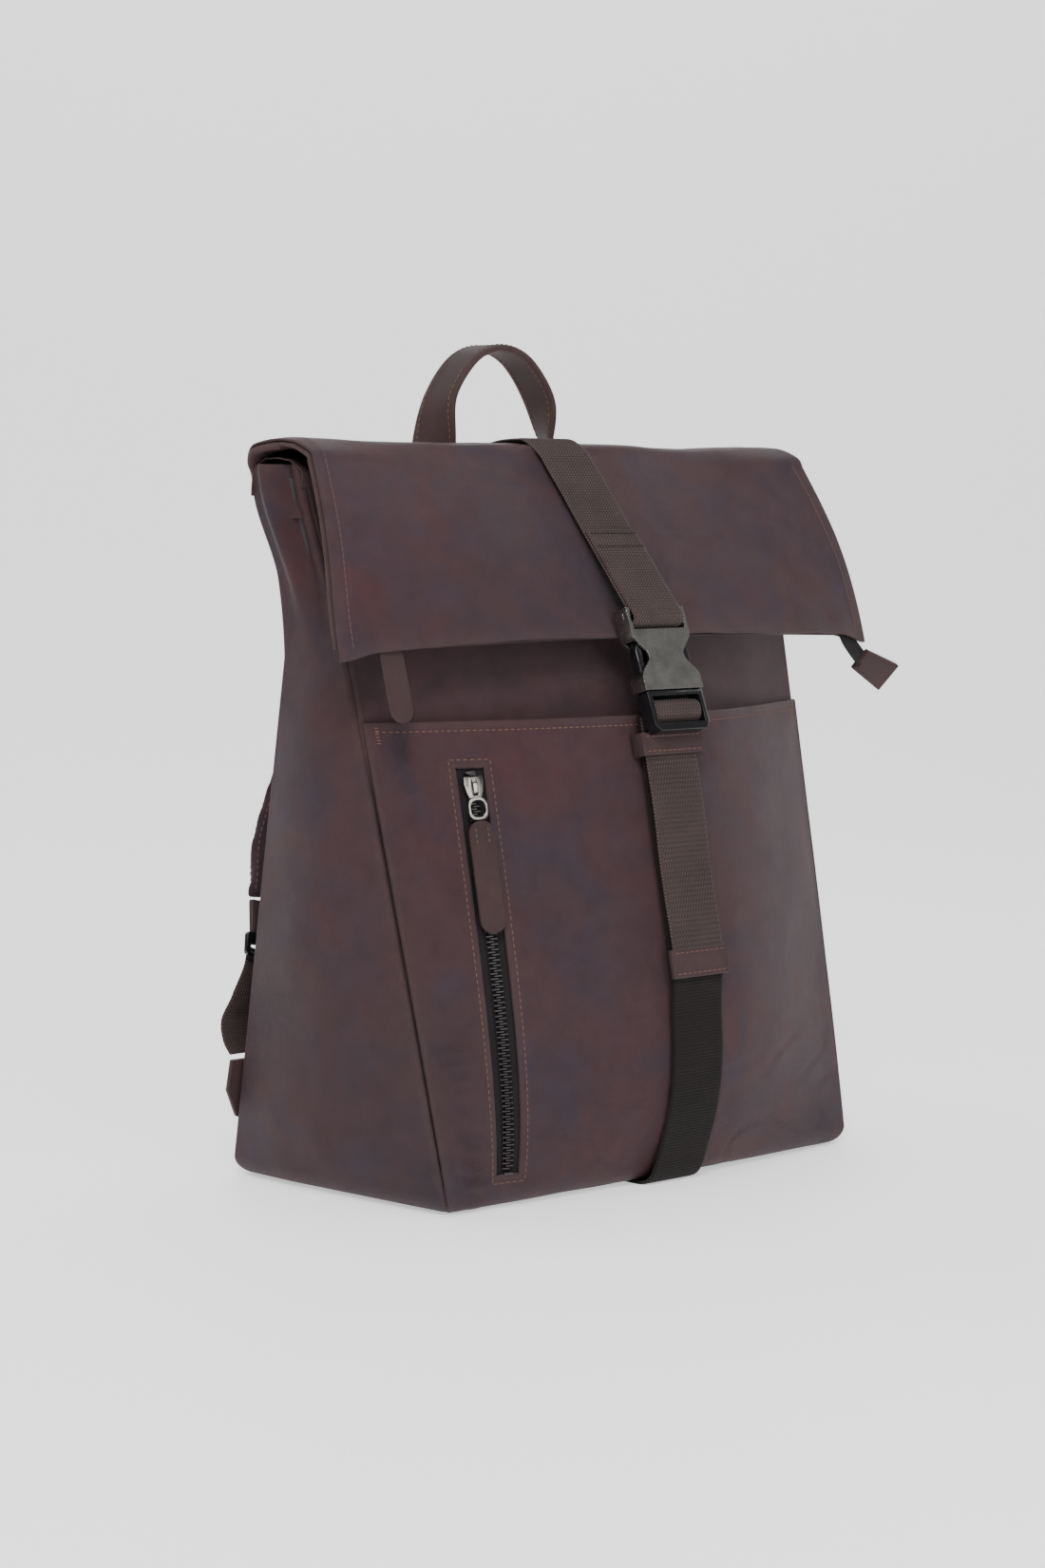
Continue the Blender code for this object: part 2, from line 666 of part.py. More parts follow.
def buckle():
    female = prism("buckle_female", female_outline(), on_buckle,
                   -FEMALE_HALF_THICK, FEMALE_HALF_THICK, STEEL)
    socket = [(-0.0208, 0.0165), (0.0208, 0.0165), (0.0208, 0.0500), (-0.0208, 0.0500)]
    cut(female, prism("cut_socket", socket, on_buckle, -0.0035, 0.0035, STEEL))
    slot = [(-0.0200, -0.0010), (0.0200, -0.0010), (0.0200, 0.0125), (-0.0200, 0.0125)]
    cut(female, prism("cut_web_slot", slot, on_buckle, -0.0100, 0.0100, STEEL))
    bar = [(-0.0226, 0.0030), (0.0226, 0.0030), (0.0226, 0.0062), (-0.0226, 0.0062)]
    fuse(female, prism("add_web_bar", bar, on_buckle, -0.0018, 0.0018, STEEL))

    start = FEMALE_LENGTH + CLEAR + 0.0004
    frame_outline = [(-0.0215, start), (0.0215, start), (0.0215, BUCKLE_LENGTH - 0.004),
                     (0.0175, BUCKLE_LENGTH), (-0.0175, BUCKLE_LENGTH),
                     (-0.0215, BUCKLE_LENGTH - 0.004)]
    male = prism("buckle_male", frame_outline, on_buckle, -0.0045, 0.0045, BLACK)
    window = [(-0.0185, start + 0.0025), (0.0185, start + 0.0025),
              (0.0185, start + 0.0180), (-0.0185, start + 0.0180)]
    cut(male, prism("cut_window", window, on_buckle, -0.0100, 0.0100, BLACK))
    bar = [(-0.0195, start + 0.0085), (0.0195, start + 0.0085),
           (0.0195, start + 0.0120), (-0.0195, start + 0.0120)]
    fuse(male, prism("add_bar", bar, on_buckle, -0.0016, 0.0016, BLACK))
    tongue = [(-0.0190, start - 0.0060), (-0.0070, start - 0.0060), (-0.0050, 0.0260),
              (0.0050, 0.0260), (0.0070, start - 0.0060), (0.0190, start - 0.0060),
              (0.0190, start + 0.0010), (-0.0190, start + 0.0010)]
    fuse(male, prism("add_tongue", tongue, on_buckle, -0.0028, 0.0028, BLACK))

    arm = [(0.0145, ARM_ROOT), (0.0185, ARM_ROOT), (0.0204, 0.0360), (0.0204, 0.0240),
           (0.0180, 0.0185), (0.0150, 0.0185), (0.0160, 0.0300)]
    for side, name in ((-1, "buckle_arm_left"), (1, "buckle_arm_right")):
        prism(name, arm, lambda a, b, c, side=side: on_buckle(side * a, b, c),
              -0.0027, 0.0027, BLACK)

    over_bar = ((0.0045, -0.0040), (0.0052, 0.0005), (0.0075, 0.0030), (0.0102, 0.0034),
                (0.0130, 0.0030), (0.0156, 0.0005), (0.0164, -0.0040))
    over = [on_buckle(0, start + down, out) for down, out in over_bar]
    strip("buckle_webbing", over, width=0.0360)


def lower_strap():
    """The webbing up the front from under the base, its free tail, leather tip and keeper."""
    lower_out, tail_out = -0.0027, -0.0008
    up = [on_strap(0, d, lower_out) for d in (-0.0100, 0.030, 0.070, 0.110, 0.1330)]
    face = [Vector((0, pocket_face(0, z) - 0.0016, z)) for z in (0.098, 0.075, 0.055, 0.038)]
    under = [Vector((0, -0.1070, 0.0180)), Vector((0, -0.1015, 0.0055)),
             Vector((0, -0.0940, 0.0009)), Vector((0, -0.0800, 0.0009)),
             Vector((0, -0.0500, 0.0009)), Vector((0, -0.0190, 0.0009))]
    strip("lower_webbing", up + face + under)

    tail_end = 0.1180
    strip("webbing_tail_held", [on_strap(0, d, tail_out) for d in (-0.0090, TAIL_START - CLEAR)])
    strip("webbing_tail", [on_strap(0, d, tail_out) for d in (TAIL_START, 0.060, 0.090, tail_end)])
    tip = rounded(WEBBING_WIDTH + 0.004, 0.0160, 0.0010, 2)
    prism("webbing_tail_tip", tip, lambda a, b, c: on_strap(a, tail_end + CLEAR + b, c),
          -0.0016, 0.0012, HIDE)

    keeper_outer = [(-0.0240, -0.0048), (0.0240, -0.0048), (0.0240, 0.0032), (-0.0240, 0.0032)]
    keeper_inner = [(-0.0228, -0.0040), (0.0228, -0.0040), (0.0228, 0.0016), (-0.0228, 0.0016)]
    rings = []
    for (ax, ac), (bx, bc) in zip(keeper_outer, keeper_inner):
        rings.append([on_strap(ax, 0, ac), on_strap(bx, 0, bc),
                      on_strap(bx, KEEPER_LENGTH, bc), on_strap(ax, KEEPER_LENGTH, ac)])
    loft("strap_keeper", rings, HIDE, closed=True)


# ---- the upright zip -----------------------------------------------------------------------

def on_zip(z):
    """A function that places points by the upright zip at height z: across, down and out."""
    seat, beside = [Vector((x, pocket_face(x, z), z)) for x in (ZIP_X, ZIP_X + 0.004)]
    below = Vector((ZIP_X, pocket_face(ZIP_X, z - 0.020), z - 0.020))
    return frame_on(seat, beside, below)


def front_zip():
    """Tapes, two rows of teeth, two stops, and the runner with its ring and leather puller."""
    zs = [0.010, ZIP_SLOT_BOTTOM, 0.032, 0.050, 0.075, 0.105, 0.140, 0.175, 0.205,
          ZIP_SLOT_TOP, 0.245]
    half_gap = 0.0002

    def band(low, high, depth):
        def at(u, z):
            x = ZIP_X + low + (high - low) * u
            return Vector((x, pocket_face(x, z) + depth, z))
        return at

    tape_in, tape_out = LEATHER + 1.5 * CLEAR, LEATHER + 0.0013
    for side, name in ((-1, "left"), (1, "right")):
        near, far = side * half_gap, side * 0.0125
        sheet(f"front_zip_tape_{name}", [0, 1], zs, band(near, far, tape_in),
              band(near, far, tape_out), CLOTH)
        teeth_far = side * 0.0026
        sheet(f"front_zip_teeth_{name}", [0, 1], [0.0215] + zs[2:-2] + [0.2285],
              band(near, teeth_far, tape_in - 0.0020), band(near, teeth_far, tape_in - CLEAR),
              STEEL)

    for name, z in (("front_zip_stop_bottom", 0.0200), ("front_zip_stop_top", 0.2305)):
        prism(name, rounded(0.0056, 0.0016, 0.0004, 1), on_zip(z), -0.0017, 0.0006, STEEL)

    on_slider = on_zip(FRONT_SLIDER_Z)
    half = [(0.0052, 0.0), (0.0056, 0.0035), (0.0046, 0.0080), (0.0034, 0.0115)]
    shield = half + [(-a, b) for a, b in reversed(half)]
    slider = prism("front_zip_slider", shield, on_slider, 0.0009, 0.0026, STEEL)

    def sideways(a, b, c):
        return on_slider(c, a, b)

    bail = [(0.0012, 0.0020), (0.0105, 0.0020), (0.0105, 0.0030), (0.0085, 0.0052),
            (0.0040, 0.0052), (0.0012, 0.0034)]
    fuse(slider, prism("add_bail", bail, sideways, -0.0014, 0.0014, STEEL))
    eye = [(0.0050, 0.0029), (0.0088, 0.0029), (0.0078, 0.0041), (0.0050, 0.0041)]
    cut(slider, prism("cut_eye", eye, sideways, -0.0100, 0.0100, STEEL))

    ring_out, ring_top, pull_top = 0.0040, 0.0114, 0.0237
    loop_ring("front_pull_ring", (0.0110, 0.0120), 0.0015, 0.0040,
              lambda a, b, c: on_slider(a, ring_top + b, ring_out + c), 0.0008, STEEL)
    prism("front_puller", rounded(0.0145, 0.060, 0.0068),
          lambda a, b, c: on_slider(a, pull_top + b, ring_out + c), -0.0013, 0.0013, HIDE)


# ---- carrying ------------------------------------------------------------------------------

def top_handle():
    """A stitched leather strap in an arch; its ends lie flat on the back, its top lies level."""
    span, top, foot = HANDLE_HALF_SPAN, HANDLE_TOP, HANDLE_FOOT
    arch = [Vector((-span + 0.004, foot.y + 0.0005, foot.z)), Vector((-span, 0.0438, 0.385)),
            Vector((-span + 0.001, 0.0455, 0.410)), Vector((-span + 0.006, 0.0460, 0.433)),
            Vector((-0.024, 0.0460, 0.4535)), Vector((0, 0.0460, top))]
    arch += [mirrored(p) for p in reversed(arch[:-1])]
    path = smooth_path(arch, 28)
    widths = [HANDLE_WIDTH] * len(path)
    ribbon("top_handle", path, handle_sides(path), widths, HANDLE_THICK, HIDE)


def handle_sides(path):
    """Width directions along the handle: along X at the feet, turning to Y over the arch."""
    count = len(path) - 1
    out = []
    for i, point in enumerate(path):
        turn = math.pi / 2 * ease((point.z - HANDLE_FOOT.z) / 0.075)
        if i > count / 2:
            turn = math.pi - turn
        out.append(Vector((-math.cos(turn), math.sin(turn), 0)))
    return out


def shoulder_straps():
    """Padded leather strap, adjuster and webbing on each side, with the anchors they end in."""
    pad_route = [SHOULDER_TOP, Vector((-0.057, 0.0460, 0.2930)), Vector((-0.079, 0.0660, 0.2640)),
                 Vector((-0.104, 0.0820, 0.2330)), Vector((-0.124, 0.0860, 0.1900)),
                 Vector((-0.134, 0.0800, 0.1500))]
    pad = smooth_path(pad_route, 16)
    drop = (pad[-1] - pad[-2]).normalized()
    level = (Vector((1, 0, 0)) - drop * drop.x).normalized()
    out = level.cross(drop)

    def below_pad(a, b, c):
        """Across, down and out from the pad's lower end."""
        return pad[-1] + level * a + drop * b + out * c

    tab_end, adjuster_end = 0.0180, 0.0318
    web_route = [below_pad(0, adjuster_end + 0.0010, 0), below_pad(0, adjuster_end + 0.008, 0.001),
                 Vector((-0.1475, 0.0835, 0.0985)), Vector((-0.1500, 0.0890, 0.0860)),
                 Vector((-0.1500, 0.0875, 0.0750)), Vector((-0.1500, 0.0820, 0.0680))]
    web = smooth_path(web_route, 15)
    for name, turn in (("left", lambda p: p), ("right", mirrored)):
        side = turn(Vector((1, 0, 0)))

        def place(a, b, c, turn=turn):
            return turn(below_pad(a, b, c))

        widths = [0.046 - 0.010 * i / 16 for i in range(17)]
        ribbon(f"strap_pad_{name}", [turn(p) for p in pad], [side] * 17, widths, 0.0070, HIDE)
        prism(f"strap_tab_{name}", [(-0.0165, CLEAR), (0.0165, CLEAR), (0.0150, tab_end),
                                    (-0.0150, tab_end)], place, -0.0020, 0.0020, HIDE)
        frame = [(a, b + tab_end + CLEAR) for a, b in rounded(0.0370, 0.0132, 0.0020, 3)]
        adjuster = prism(f"strap_adjuster_{name}", frame, place, -0.0014, 0.0014, STEEL)
        gap = [(a, b + tab_end + 0.0074) for a, b in rounded(0.0310, 0.0042, 0.0008, 2)]
        cut(adjuster, prism(f"cut_adjuster_{name}", gap, place, -0.0100, 0.0100, STEEL))
        ribbon(f"strap_webbing_{name}", [turn(p) for p in web], [side] * 16, [0.0300] * 16,
               WEBBING, WOVEN)

        anchor = turn(SHOULDER_LOW)
        outline = [(-0.0170, 0.0), (0.0170, 0.0), (0.0170, 0.0180), (0.0080, 0.0340),
                   (-0.0080, 0.0340), (-0.0170, 0.0180)]
        lean = Vector((0, BACK_LEAN, -1)).normalized()
        off = Vector((0, 1, BACK_LEAN)).normalized()
        seat = Vector((anchor.x, back_face(0.0650) + CLEAR, 0.0650))
        prism(f"strap_anchor_{name}", outline,
              lambda a, b, c: seat + Vector((a, 0, 0)) + lean * b + off * c,
              0.0002, 0.0032, HIDE)


# ---- joints --------------------------------------------------------------------------------

def joint_axes():
    """An empty on each joint's axis, carried by its parent's, and the pieces it carries."""
    arm_axis = [on_buckle(side * ARM_OFFSET, ARM_ROOT, 0) for side in (-1, 1)]
    sides = ("left", "right")
    table = [
        ("fold_back", None, Vector((0, BACK_HINGE_Y, FOLD_HINGE_HEIGHT)),
         ["top_fold_outer", "top_fold_inner", "closure_webbing_top"]),
        ("fold_front", "fold_back", Vector((0, FRONT_HINGE_Y, FOLD_HINGE_HEIGHT)),
         ["flap_outer", "flap_inner", "mouth_zip_tape", "mouth_zip_teeth", "mouth_zip_tape_end",
          "mouth_zip_end_tab", "closure_webbing_front", "buckle_female"]),
        ("mouth_zip", "fold_front", Vector((0, MOUTH_ARC_Y, MOUTH_SLIDER_Z)),
         ["mouth_zip_slider"]),
        ("mouth_pull", "mouth_zip", mouth_pull_axis(), ["mouth_pull_ring", "mouth_puller"]),
        ("buckle_release", None, on_buckle(0, FEMALE_LENGTH, 0),
         ["buckle_male", "buckle_webbing"]),
        ("arm_left", "buckle_release", arm_axis[0], ["buckle_arm_left"]),
        ("arm_right", "buckle_release", arm_axis[1], ["buckle_arm_right"]),
        ("tail_lift", None, on_strap(0, TAIL_START, 0), ["webbing_tail", "webbing_tail_tip"]),
        ("keeper_slide", None, on_strap(0, 0, 0), ["strap_keeper"]),
        ("front_zip", None, Vector((ZIP_X, FRONT_ARC_Y, FRONT_ARC_Z)), ["front_zip_slider"]),
        ("front_pull", "front_zip", on_zip(FRONT_SLIDER_Z)(0, FRONT_PULL_AT, 0.0045),
         ["front_pull_ring", "front_puller"]),
        ("handle_fold", None, HANDLE_FOOT, ["top_handle"]),
    ]
    for side, top in zip(sides, (SHOULDER_TOP, mirrored(SHOULDER_TOP))):
        pieces = [f"strap_{piece}_{side}" for piece in ("pad", "tab", "adjuster", "webbing")]
        table.append((f"strap_{side}", None, top, pieces))

    axes = {}
    for name, carried_by, point, pieces in table:
        axis = bpy.data.objects.new("axis_" + name, None)
        bpy.context.scene.collection.objects.link(axis)
        axis.location = point
        axes[name] = axis
        if carried_by:
            hang(axis, axes[carried_by])
        for piece in pieces:
            hang(bpy.data.objects[piece], axis)


def hang(child, parent):
    """Parents child to parent and leaves it where it is."""
    bpy.context.view_layer.update()
    child.parent = parent
    child.matrix_parent_inverse = parent.matrix_world.inverted()


# ---- build ---------------------------------------------------------------------------------

for old in list(bpy.data.objects):
    bpy.data.objects.remove(old, do_unlink=True)

front_panels()
side_gussets()
back_panel()
base()
lining()
back_padding()
pocket_bag()
back_yoke()
top_fold()
flap()
mouth_zip()
closure_webbing()
buckle()
lower_strap()
front_zip()
top_handle()
shoulder_straps()
joint_axes()
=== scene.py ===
"""The looks of the roll-top leather backpack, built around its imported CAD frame.

Metres, +Z up, front towards -Y. Leather panels are grown from the same outline rules as the frame, with
turned seams, hems, creases and real stitches; the hardware is bevelled from its own CAD solids.
"""

import json
import math

import bmesh
import bpy
from mathutils import Matrix, Vector, noise
from mathutils.bvhtree import BVHTree
from mathutils.kdtree import KDTree

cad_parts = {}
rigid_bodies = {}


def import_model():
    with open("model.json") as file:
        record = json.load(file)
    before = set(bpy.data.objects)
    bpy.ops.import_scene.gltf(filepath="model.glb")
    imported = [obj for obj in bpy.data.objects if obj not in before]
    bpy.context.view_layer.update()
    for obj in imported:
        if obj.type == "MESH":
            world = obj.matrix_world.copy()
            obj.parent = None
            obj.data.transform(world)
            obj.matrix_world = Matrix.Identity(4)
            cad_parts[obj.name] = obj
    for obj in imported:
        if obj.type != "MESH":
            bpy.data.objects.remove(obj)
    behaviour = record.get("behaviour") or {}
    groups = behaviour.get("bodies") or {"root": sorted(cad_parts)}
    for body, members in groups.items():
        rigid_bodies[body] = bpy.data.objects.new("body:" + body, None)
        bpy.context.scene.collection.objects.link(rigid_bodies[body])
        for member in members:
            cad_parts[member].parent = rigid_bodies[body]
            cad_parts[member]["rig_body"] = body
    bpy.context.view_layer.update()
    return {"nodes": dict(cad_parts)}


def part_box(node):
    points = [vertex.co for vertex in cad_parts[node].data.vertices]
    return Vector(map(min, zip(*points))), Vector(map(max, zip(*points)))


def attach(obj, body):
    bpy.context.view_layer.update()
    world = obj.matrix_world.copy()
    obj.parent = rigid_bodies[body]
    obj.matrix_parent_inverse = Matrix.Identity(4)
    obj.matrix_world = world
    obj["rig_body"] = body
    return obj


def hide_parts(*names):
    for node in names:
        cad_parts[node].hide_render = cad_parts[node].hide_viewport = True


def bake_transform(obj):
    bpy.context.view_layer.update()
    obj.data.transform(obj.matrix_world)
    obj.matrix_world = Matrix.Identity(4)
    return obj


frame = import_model()

SIDES = ((-1, "left"), (1, "right"))

# ---- the frame's outline rules, in metres ---------------------------------------------------

LEATHER = 0.0018
CLEAR = 0.0003
WEBBING = 0.0016
WEBBING_WIDTH = 0.040
BASE_HALF_WIDTH = 0.160
WIDENING = 0.049
BASE_HALF_DEPTH = 0.0905
FRONT_LEAN = 0.215
BACK_LEAN = 0.220
WAIST_HEIGHT = 0.290
NECK_TOP = 0.3870
NECK_HALF_WIDTH = 0.186
STUFFING = 0.052
STUFFING_RISE = 0.045
POCKET_TOP = 0.256
POCKET_SLACK = 0.325
NECK_BOW = 0.031
POUCH_ROOM = 0.0038
NECK_START = 0.300
NECK_LAST_BOW = 0.001
POUCH_START = 0.200
BACK_FLARE = 0.0120
BACK_FLARE_START = 0.330
BACK_FLARE_RISE = 0.050
FOLD_TOP = 0.4010
BACK_HINGE_Y = 0.0260
FRONT_HINGE_Y = -0.0100
FOLD_HALF_WIDTH = 0.190
LIP_HALF_WIDTH = 0.205
FLAP_START_Y = -0.0200
LIP_Y = -0.0600
LIP_BOW = 0.0170
LIP_HEIGHT = 0.2950
LIP_RISE = 0.0060
FLAP_TOP_BOW = -0.0100
FLAP_CROWN = 0.0040
FLAP_INNER_DEPTH = 0.0062
ZIP_X = -0.1195
ZIP_SLOT_HALF = 0.0080
ZIP_SLOT_BOTTOM = 0.0180
ZIP_SLOT_TOP = 0.2330
STRAP_DROP = Vector((0.0, -0.191, -0.9816))
STRAP_OUT = Vector((0.0, -0.9816, 0.191))
STRAP_REF = Vector((0.0, -0.0948, 0.2475))
BUCKLE_TOP = Vector((0.0, -0.0793, 0.3138))
BUCKLE_DROP = Vector((0.0, -0.342, -0.9397))
BUCKLE_OUT = Vector((0.0, -0.9397, 0.342))
HANDLE_TOP = 0.4600

SEAM = 0.0026           # radius of the leather where it turns into a seam
FLOOR_TURN = 0.0105     # radius of the shell's lower edge


def ease(t):
    """A smooth step from 0 to 1."""
    t = min(1.0, max(0.0, t))
    return t * t * (3 - 2 * t)


def half_width(z):
    """The bag's half width at a height, flaring at the neck."""
    flare = NECK_HALF_WIDTH - BASE_HALF_WIDTH - WIDENING * NECK_TOP
    return BASE_HALF_WIDTH + WIDENING * z + flare * ease((z - NECK_START) / (NECK_TOP - NECK_START))


def corner_front(z):
    """The front corners' y at a height."""
    return -BASE_HALF_DEPTH + FRONT_LEAN * z


def back_face(z):
    """The back's y at a height."""
    if z < WAIST_HEIGHT:
        return BASE_HALF_DEPTH - BACK_LEAN * z
    flare = BACK_FLARE * ease((z - BACK_FLARE_START) / BACK_FLARE_RISE)
    return BASE_HALF_DEPTH - BACK_LEAN * WAIST_HEIGHT + flare


def across(x, z):
    """1 in the middle of the front, 0 at its corners."""
    return math.cos(math.pi / 2 * min(1.0, abs(x) / half_width(z)))


def bow(z):
    """How far the filled pocket stands out in its middle."""
    return STUFFING * (1 - math.exp(-z / STUFFING_RISE))


def pocket_face(x, z):
    """The y of the pocket panel's outer face."""
    return corner_front(z) - bow(z) * across(x, z)


def body_face(x, z):
    """The y of the body's front, behind the pocket and up the neck."""
    if z <= POCKET_TOP:
        out = bow(z) * (1 - POCKET_SLACK * (z / POCKET_TOP) ** 2)
    elif z <= NECK_START:
        top = bow(POCKET_TOP) * (1 - POCKET_SLACK)
        out = top + (NECK_BOW - top) * (z - POCKET_TOP) / (NECK_START - POCKET_TOP)
    else:
        out = NECK_LAST_BOW + (NECK_BOW - NECK_LAST_BOW) * (NECK_TOP - z) / (NECK_TOP - NECK_START)
    room = POUCH_ROOM * (1 - ease((z - POUCH_START) / (POCKET_TOP - POUCH_START)))
    return corner_front(z) + LEATHER + CLEAR + room - out * across(x, z)


def flap_point(x, t, depth):
    """A point of the flap, t from the fold to the lip, depth under its outer face."""
    middle = max(0.0, 1 - (x / LIP_HALF_WIDTH) ** 2)
    top = Vector((0, FLAP_START_Y - FLAP_TOP_BOW * middle, FOLD_TOP))
    lip = Vector((0, LIP_Y - LIP_BOW * middle, LIP_HEIGHT + LIP_RISE * middle))
    along = (lip - top).normalized()
    out = Vector((0, along.z, -along.y))
    crown = FLAP_CROWN * math.sin(math.pi * min(1.0, max(0.0, t)))
    point = top.lerp(lip, t) + out * (crown - depth)
    return Vector((x, point.y, point.z))


def flap_half_width(t):
    return FOLD_HALF_WIDTH + (LIP_HALF_WIDTH - FOLD_HALF_WIDTH) * t


def on_strap(x, down, out):
    """A point measured from where the webbing leaves the buckle."""
    return STRAP_REF + Vector((x, 0, 0)) + STRAP_DROP * down + STRAP_OUT * out


def on_buckle(x, down, out):
    """A point measured from the buckle's upper edge."""
    return BUCKLE_TOP + Vector((x, 0, 0)) + BUCKLE_DROP * down + BUCKLE_OUT * out


# ---- finishes -------------------------------------------------------------------------------

class Nodes:
    """A new material and short ways to add and link its nodes."""

    def __init__(self, name):
        self.mat = bpy.data.materials.new(name)
        self.mat.use_nodes = True
        self.tree = self.mat.node_tree
        self.shader = self.tree.nodes["Principled BSDF"]

    def add(self, kind, **values):
        node = self.tree.nodes.new("ShaderNode" + kind)
        for key, value in values.items():
            if hasattr(node, key):
                setattr(node, key, value)
            else:
                node.inputs[key.replace("_", " ")].default_value = value
        return node

    def put(self, value, socket):
        """Links another socket's value, or sets a plain one; a tuple is a colour."""
        if isinstance(value, bpy.types.NodeSocket):
            self.tree.links.new(value, socket)
        else:
            socket.default_value = (*value, 1) if isinstance(value, tuple) else value

    def feed(self, **values):
        """Sets or links the shader's inputs, named with _ for each space."""
        for key, value in values.items():
            self.put(value, self.shader.inputs[key.replace("_", " ")])

    def place(self, scale=(1, 1, 1), use="Object", turn=(0, 0, 0)):
        coords = self.add("TexCoord")
        mapping = self.add("Mapping")
        mapping.inputs["Scale"].default_value = scale
        mapping.inputs["Rotation"].default_value = turn
        self.put(coords.outputs[use], mapping.inputs["Vector"])
        return mapping.outputs["Vector"]

    def noise(self, vector, scale, detail=3.0, rough=0.55, warp=0.0):
        node = self.add("TexNoise", Scale=scale, Detail=detail, Roughness=rough, Distortion=warp)
        self.put(vector, node.inputs["Vector"])
        return node.outputs["Fac"]

    def ramp(self, value, stops):
        node = self.add("ValToRGB")
        ramp = node.color_ramp
        while len(ramp.elements) < len(stops):
            ramp.elements.new(0.5)
        for element, (at, colour) in zip(ramp.elements, stops):
            element.position = at
            element.color = (*colour, 1)
        self.put(value, node.inputs["Fac"])
        return node.outputs["Color"]

    def mix(self, factor, one, two, blend="MIX"):
        node = self.add("Mix", data_type="RGBA", blend_type=blend)
        for index, value in ((0, factor), (6, one), (7, two)):
            self.put(value, node.inputs[index])
        return node.outputs[2]

    def fade(self, value, low, high):
        """0 below low, 1 above high."""
        return self.ramp(value, [(low, (0, 0, 0)), (high, (1, 1, 1))])

    def tinted(self, colour, value, low, high):
        """A colour multiplied by a ramp between two (place, factor) pairs."""
        return self.mix(1.0, colour, self.ramp(value, [low, high]), "MULTIPLY")

    def math(self, operation, one, two=0.0):
        node = self.add("Math", operation=operation)
        self.put(one, node.inputs[0])
        self.put(two, node.inputs[1])
        return node.outputs[0]

    def span(self, value, low, high):
        """A 0 to 1 value stretched between low and high."""
        node = self.add("MapRange")
        node.inputs["To Min"].default_value = low
        node.inputs["To Max"].default_value = high
        self.put(value, node.inputs["Value"])
        return node.outputs["Result"]

    def bump(self, height, distance, strength=1.0, after=None):
        node = self.add("Bump", Strength=strength, Distance=distance)
        self.put(height, node.inputs["Height"])
        if after is not None:
            self.put(after, node.inputs["Normal"])
        return node.outputs["Normal"]


def leather(name, base, red, grey, grain=0.00026, cell=900.0, rough=(0.36, 0.52),
            edge=(0.075, 0.052, 0.048)):
    """Pull-up leather: cloudy brown, burgundy and grey (in hide the grey is tinted bluish as a painted
    sheen), fine pores, and rims painted lighter, partly rubbed leather and partly painted highlight.
    """
    n = Nodes(name)
    where = n.place()
    clouds = n.noise(where, 8.0, 3.0, 0.5, 0.8)
    blotch = n.noise(where, 19.0, 4.0, 0.6, 1.2)
    rub = n.noise(where, 70.0, 6.0, 0.65, 0.4)
    colour = n.mix(n.fade(clouds, 0.30, 0.72), base, red)
    # Grey blotches: real grey mottling; in hide the grey is tinted bluish purple as a painted sheen.
    colour = n.mix(n.fade(blotch, 0.42, 0.80), colour, grey)
    colour = n.tinted(colour, rub, (0.25, (0.84, 0.84, 0.84)), (0.75, (1.13, 1.11, 1.11)))
    # The rims are mixed towards the lighter edge colour: partly leather rubbed lighter, partly a
    # painted highlight on the turned edges and seams.
    rim = n.add("Attribute", attribute_name="rim")
    worn = n.math("MULTIPLY", rim.outputs["Fac"], n.span(rub, 0.05, 0.50))
    colour = n.mix(worn, colour, edge)
    patina = n.noise(where, 34.0, 4.0, 0.6)
    pores = n.add("TexVoronoi", feature="DISTANCE_TO_EDGE", Scale=cell)
    bent = n.mix(0.10, where, n.add("TexNoise", Scale=220.0).outputs["Color"])
    n.put(bent, pores.inputs["Vector"])
    pits = n.fade(pores.outputs["Distance"], 0.0, 0.16)
    fine = n.noise(where, 2600.0, 2.0)
    skin = n.bump(pits, grain, 0.55)
    skin = n.bump(fine, grain * 0.5, 0.5, skin)
    skin = n.bump(n.noise(where, 120.0, 5.0, 0.6, 0.8), 0.0011, 0.30, skin)
    n.feed(Base_Color=colour, Roughness=n.span(patina, *rough), Specular_IOR_Level=0.09, Normal=skin)
    return n.mat


def woven(name, dark, light, pitch=0.0021, depth=0.0005, rough=0.82):
    """Woven yarn on a strip whose UV runs across it and along it in metres, painted lighter on its
    crests and darker in its hollows as painted highlight and painted shade.
    """
    n = Nodes(name)
    where = n.place(use="UV")
    turns = 2 * math.pi / pitch
    split = n.add("SeparateXYZ")
    n.put(where, split.inputs["Vector"])
    warp = n.math("SINE", n.math("MULTIPLY", split.outputs["X"], turns))
    weft = n.math("SINE", n.math("MULTIPLY", split.outputs["Y"], turns * 1.15))
    weave = n.span(n.math("MULTIPLY", warp, weft), 0.5, 1.0)
    yarn = n.noise(n.place((1, 1, 1), "UV"), 1800.0, 4.0, 0.7)
    # Light on the weave's crests and dark in its hollows: painted highlight and painted shade.
    tone = n.mix(n.fade(weave, 0.35, 0.95), dark, light)
    tone = n.tinted(tone, yarn, (0.3, (0.72, 0.72, 0.72)), (0.7, (1.2, 1.2, 1.2)))
    worn = n.noise(n.place(), 45.0, 4.0, 0.6)
    tone = n.tinted(tone, worn, (0.3, (0.85, 0.85, 0.85)), (0.7, (1.12, 1.1, 1.08)))
    n.feed(Base_Color=tone, Roughness=n.span(yarn, rough - 0.08, rough + 0.08), Sheen_Weight=0.08,
           Sheen_Roughness=0.5, Specular_IOR_Level=0.10,
           Normal=n.bump(yarn, depth * 0.6, 0.6, n.bump(weave, depth, 0.8)))
    return n.mat


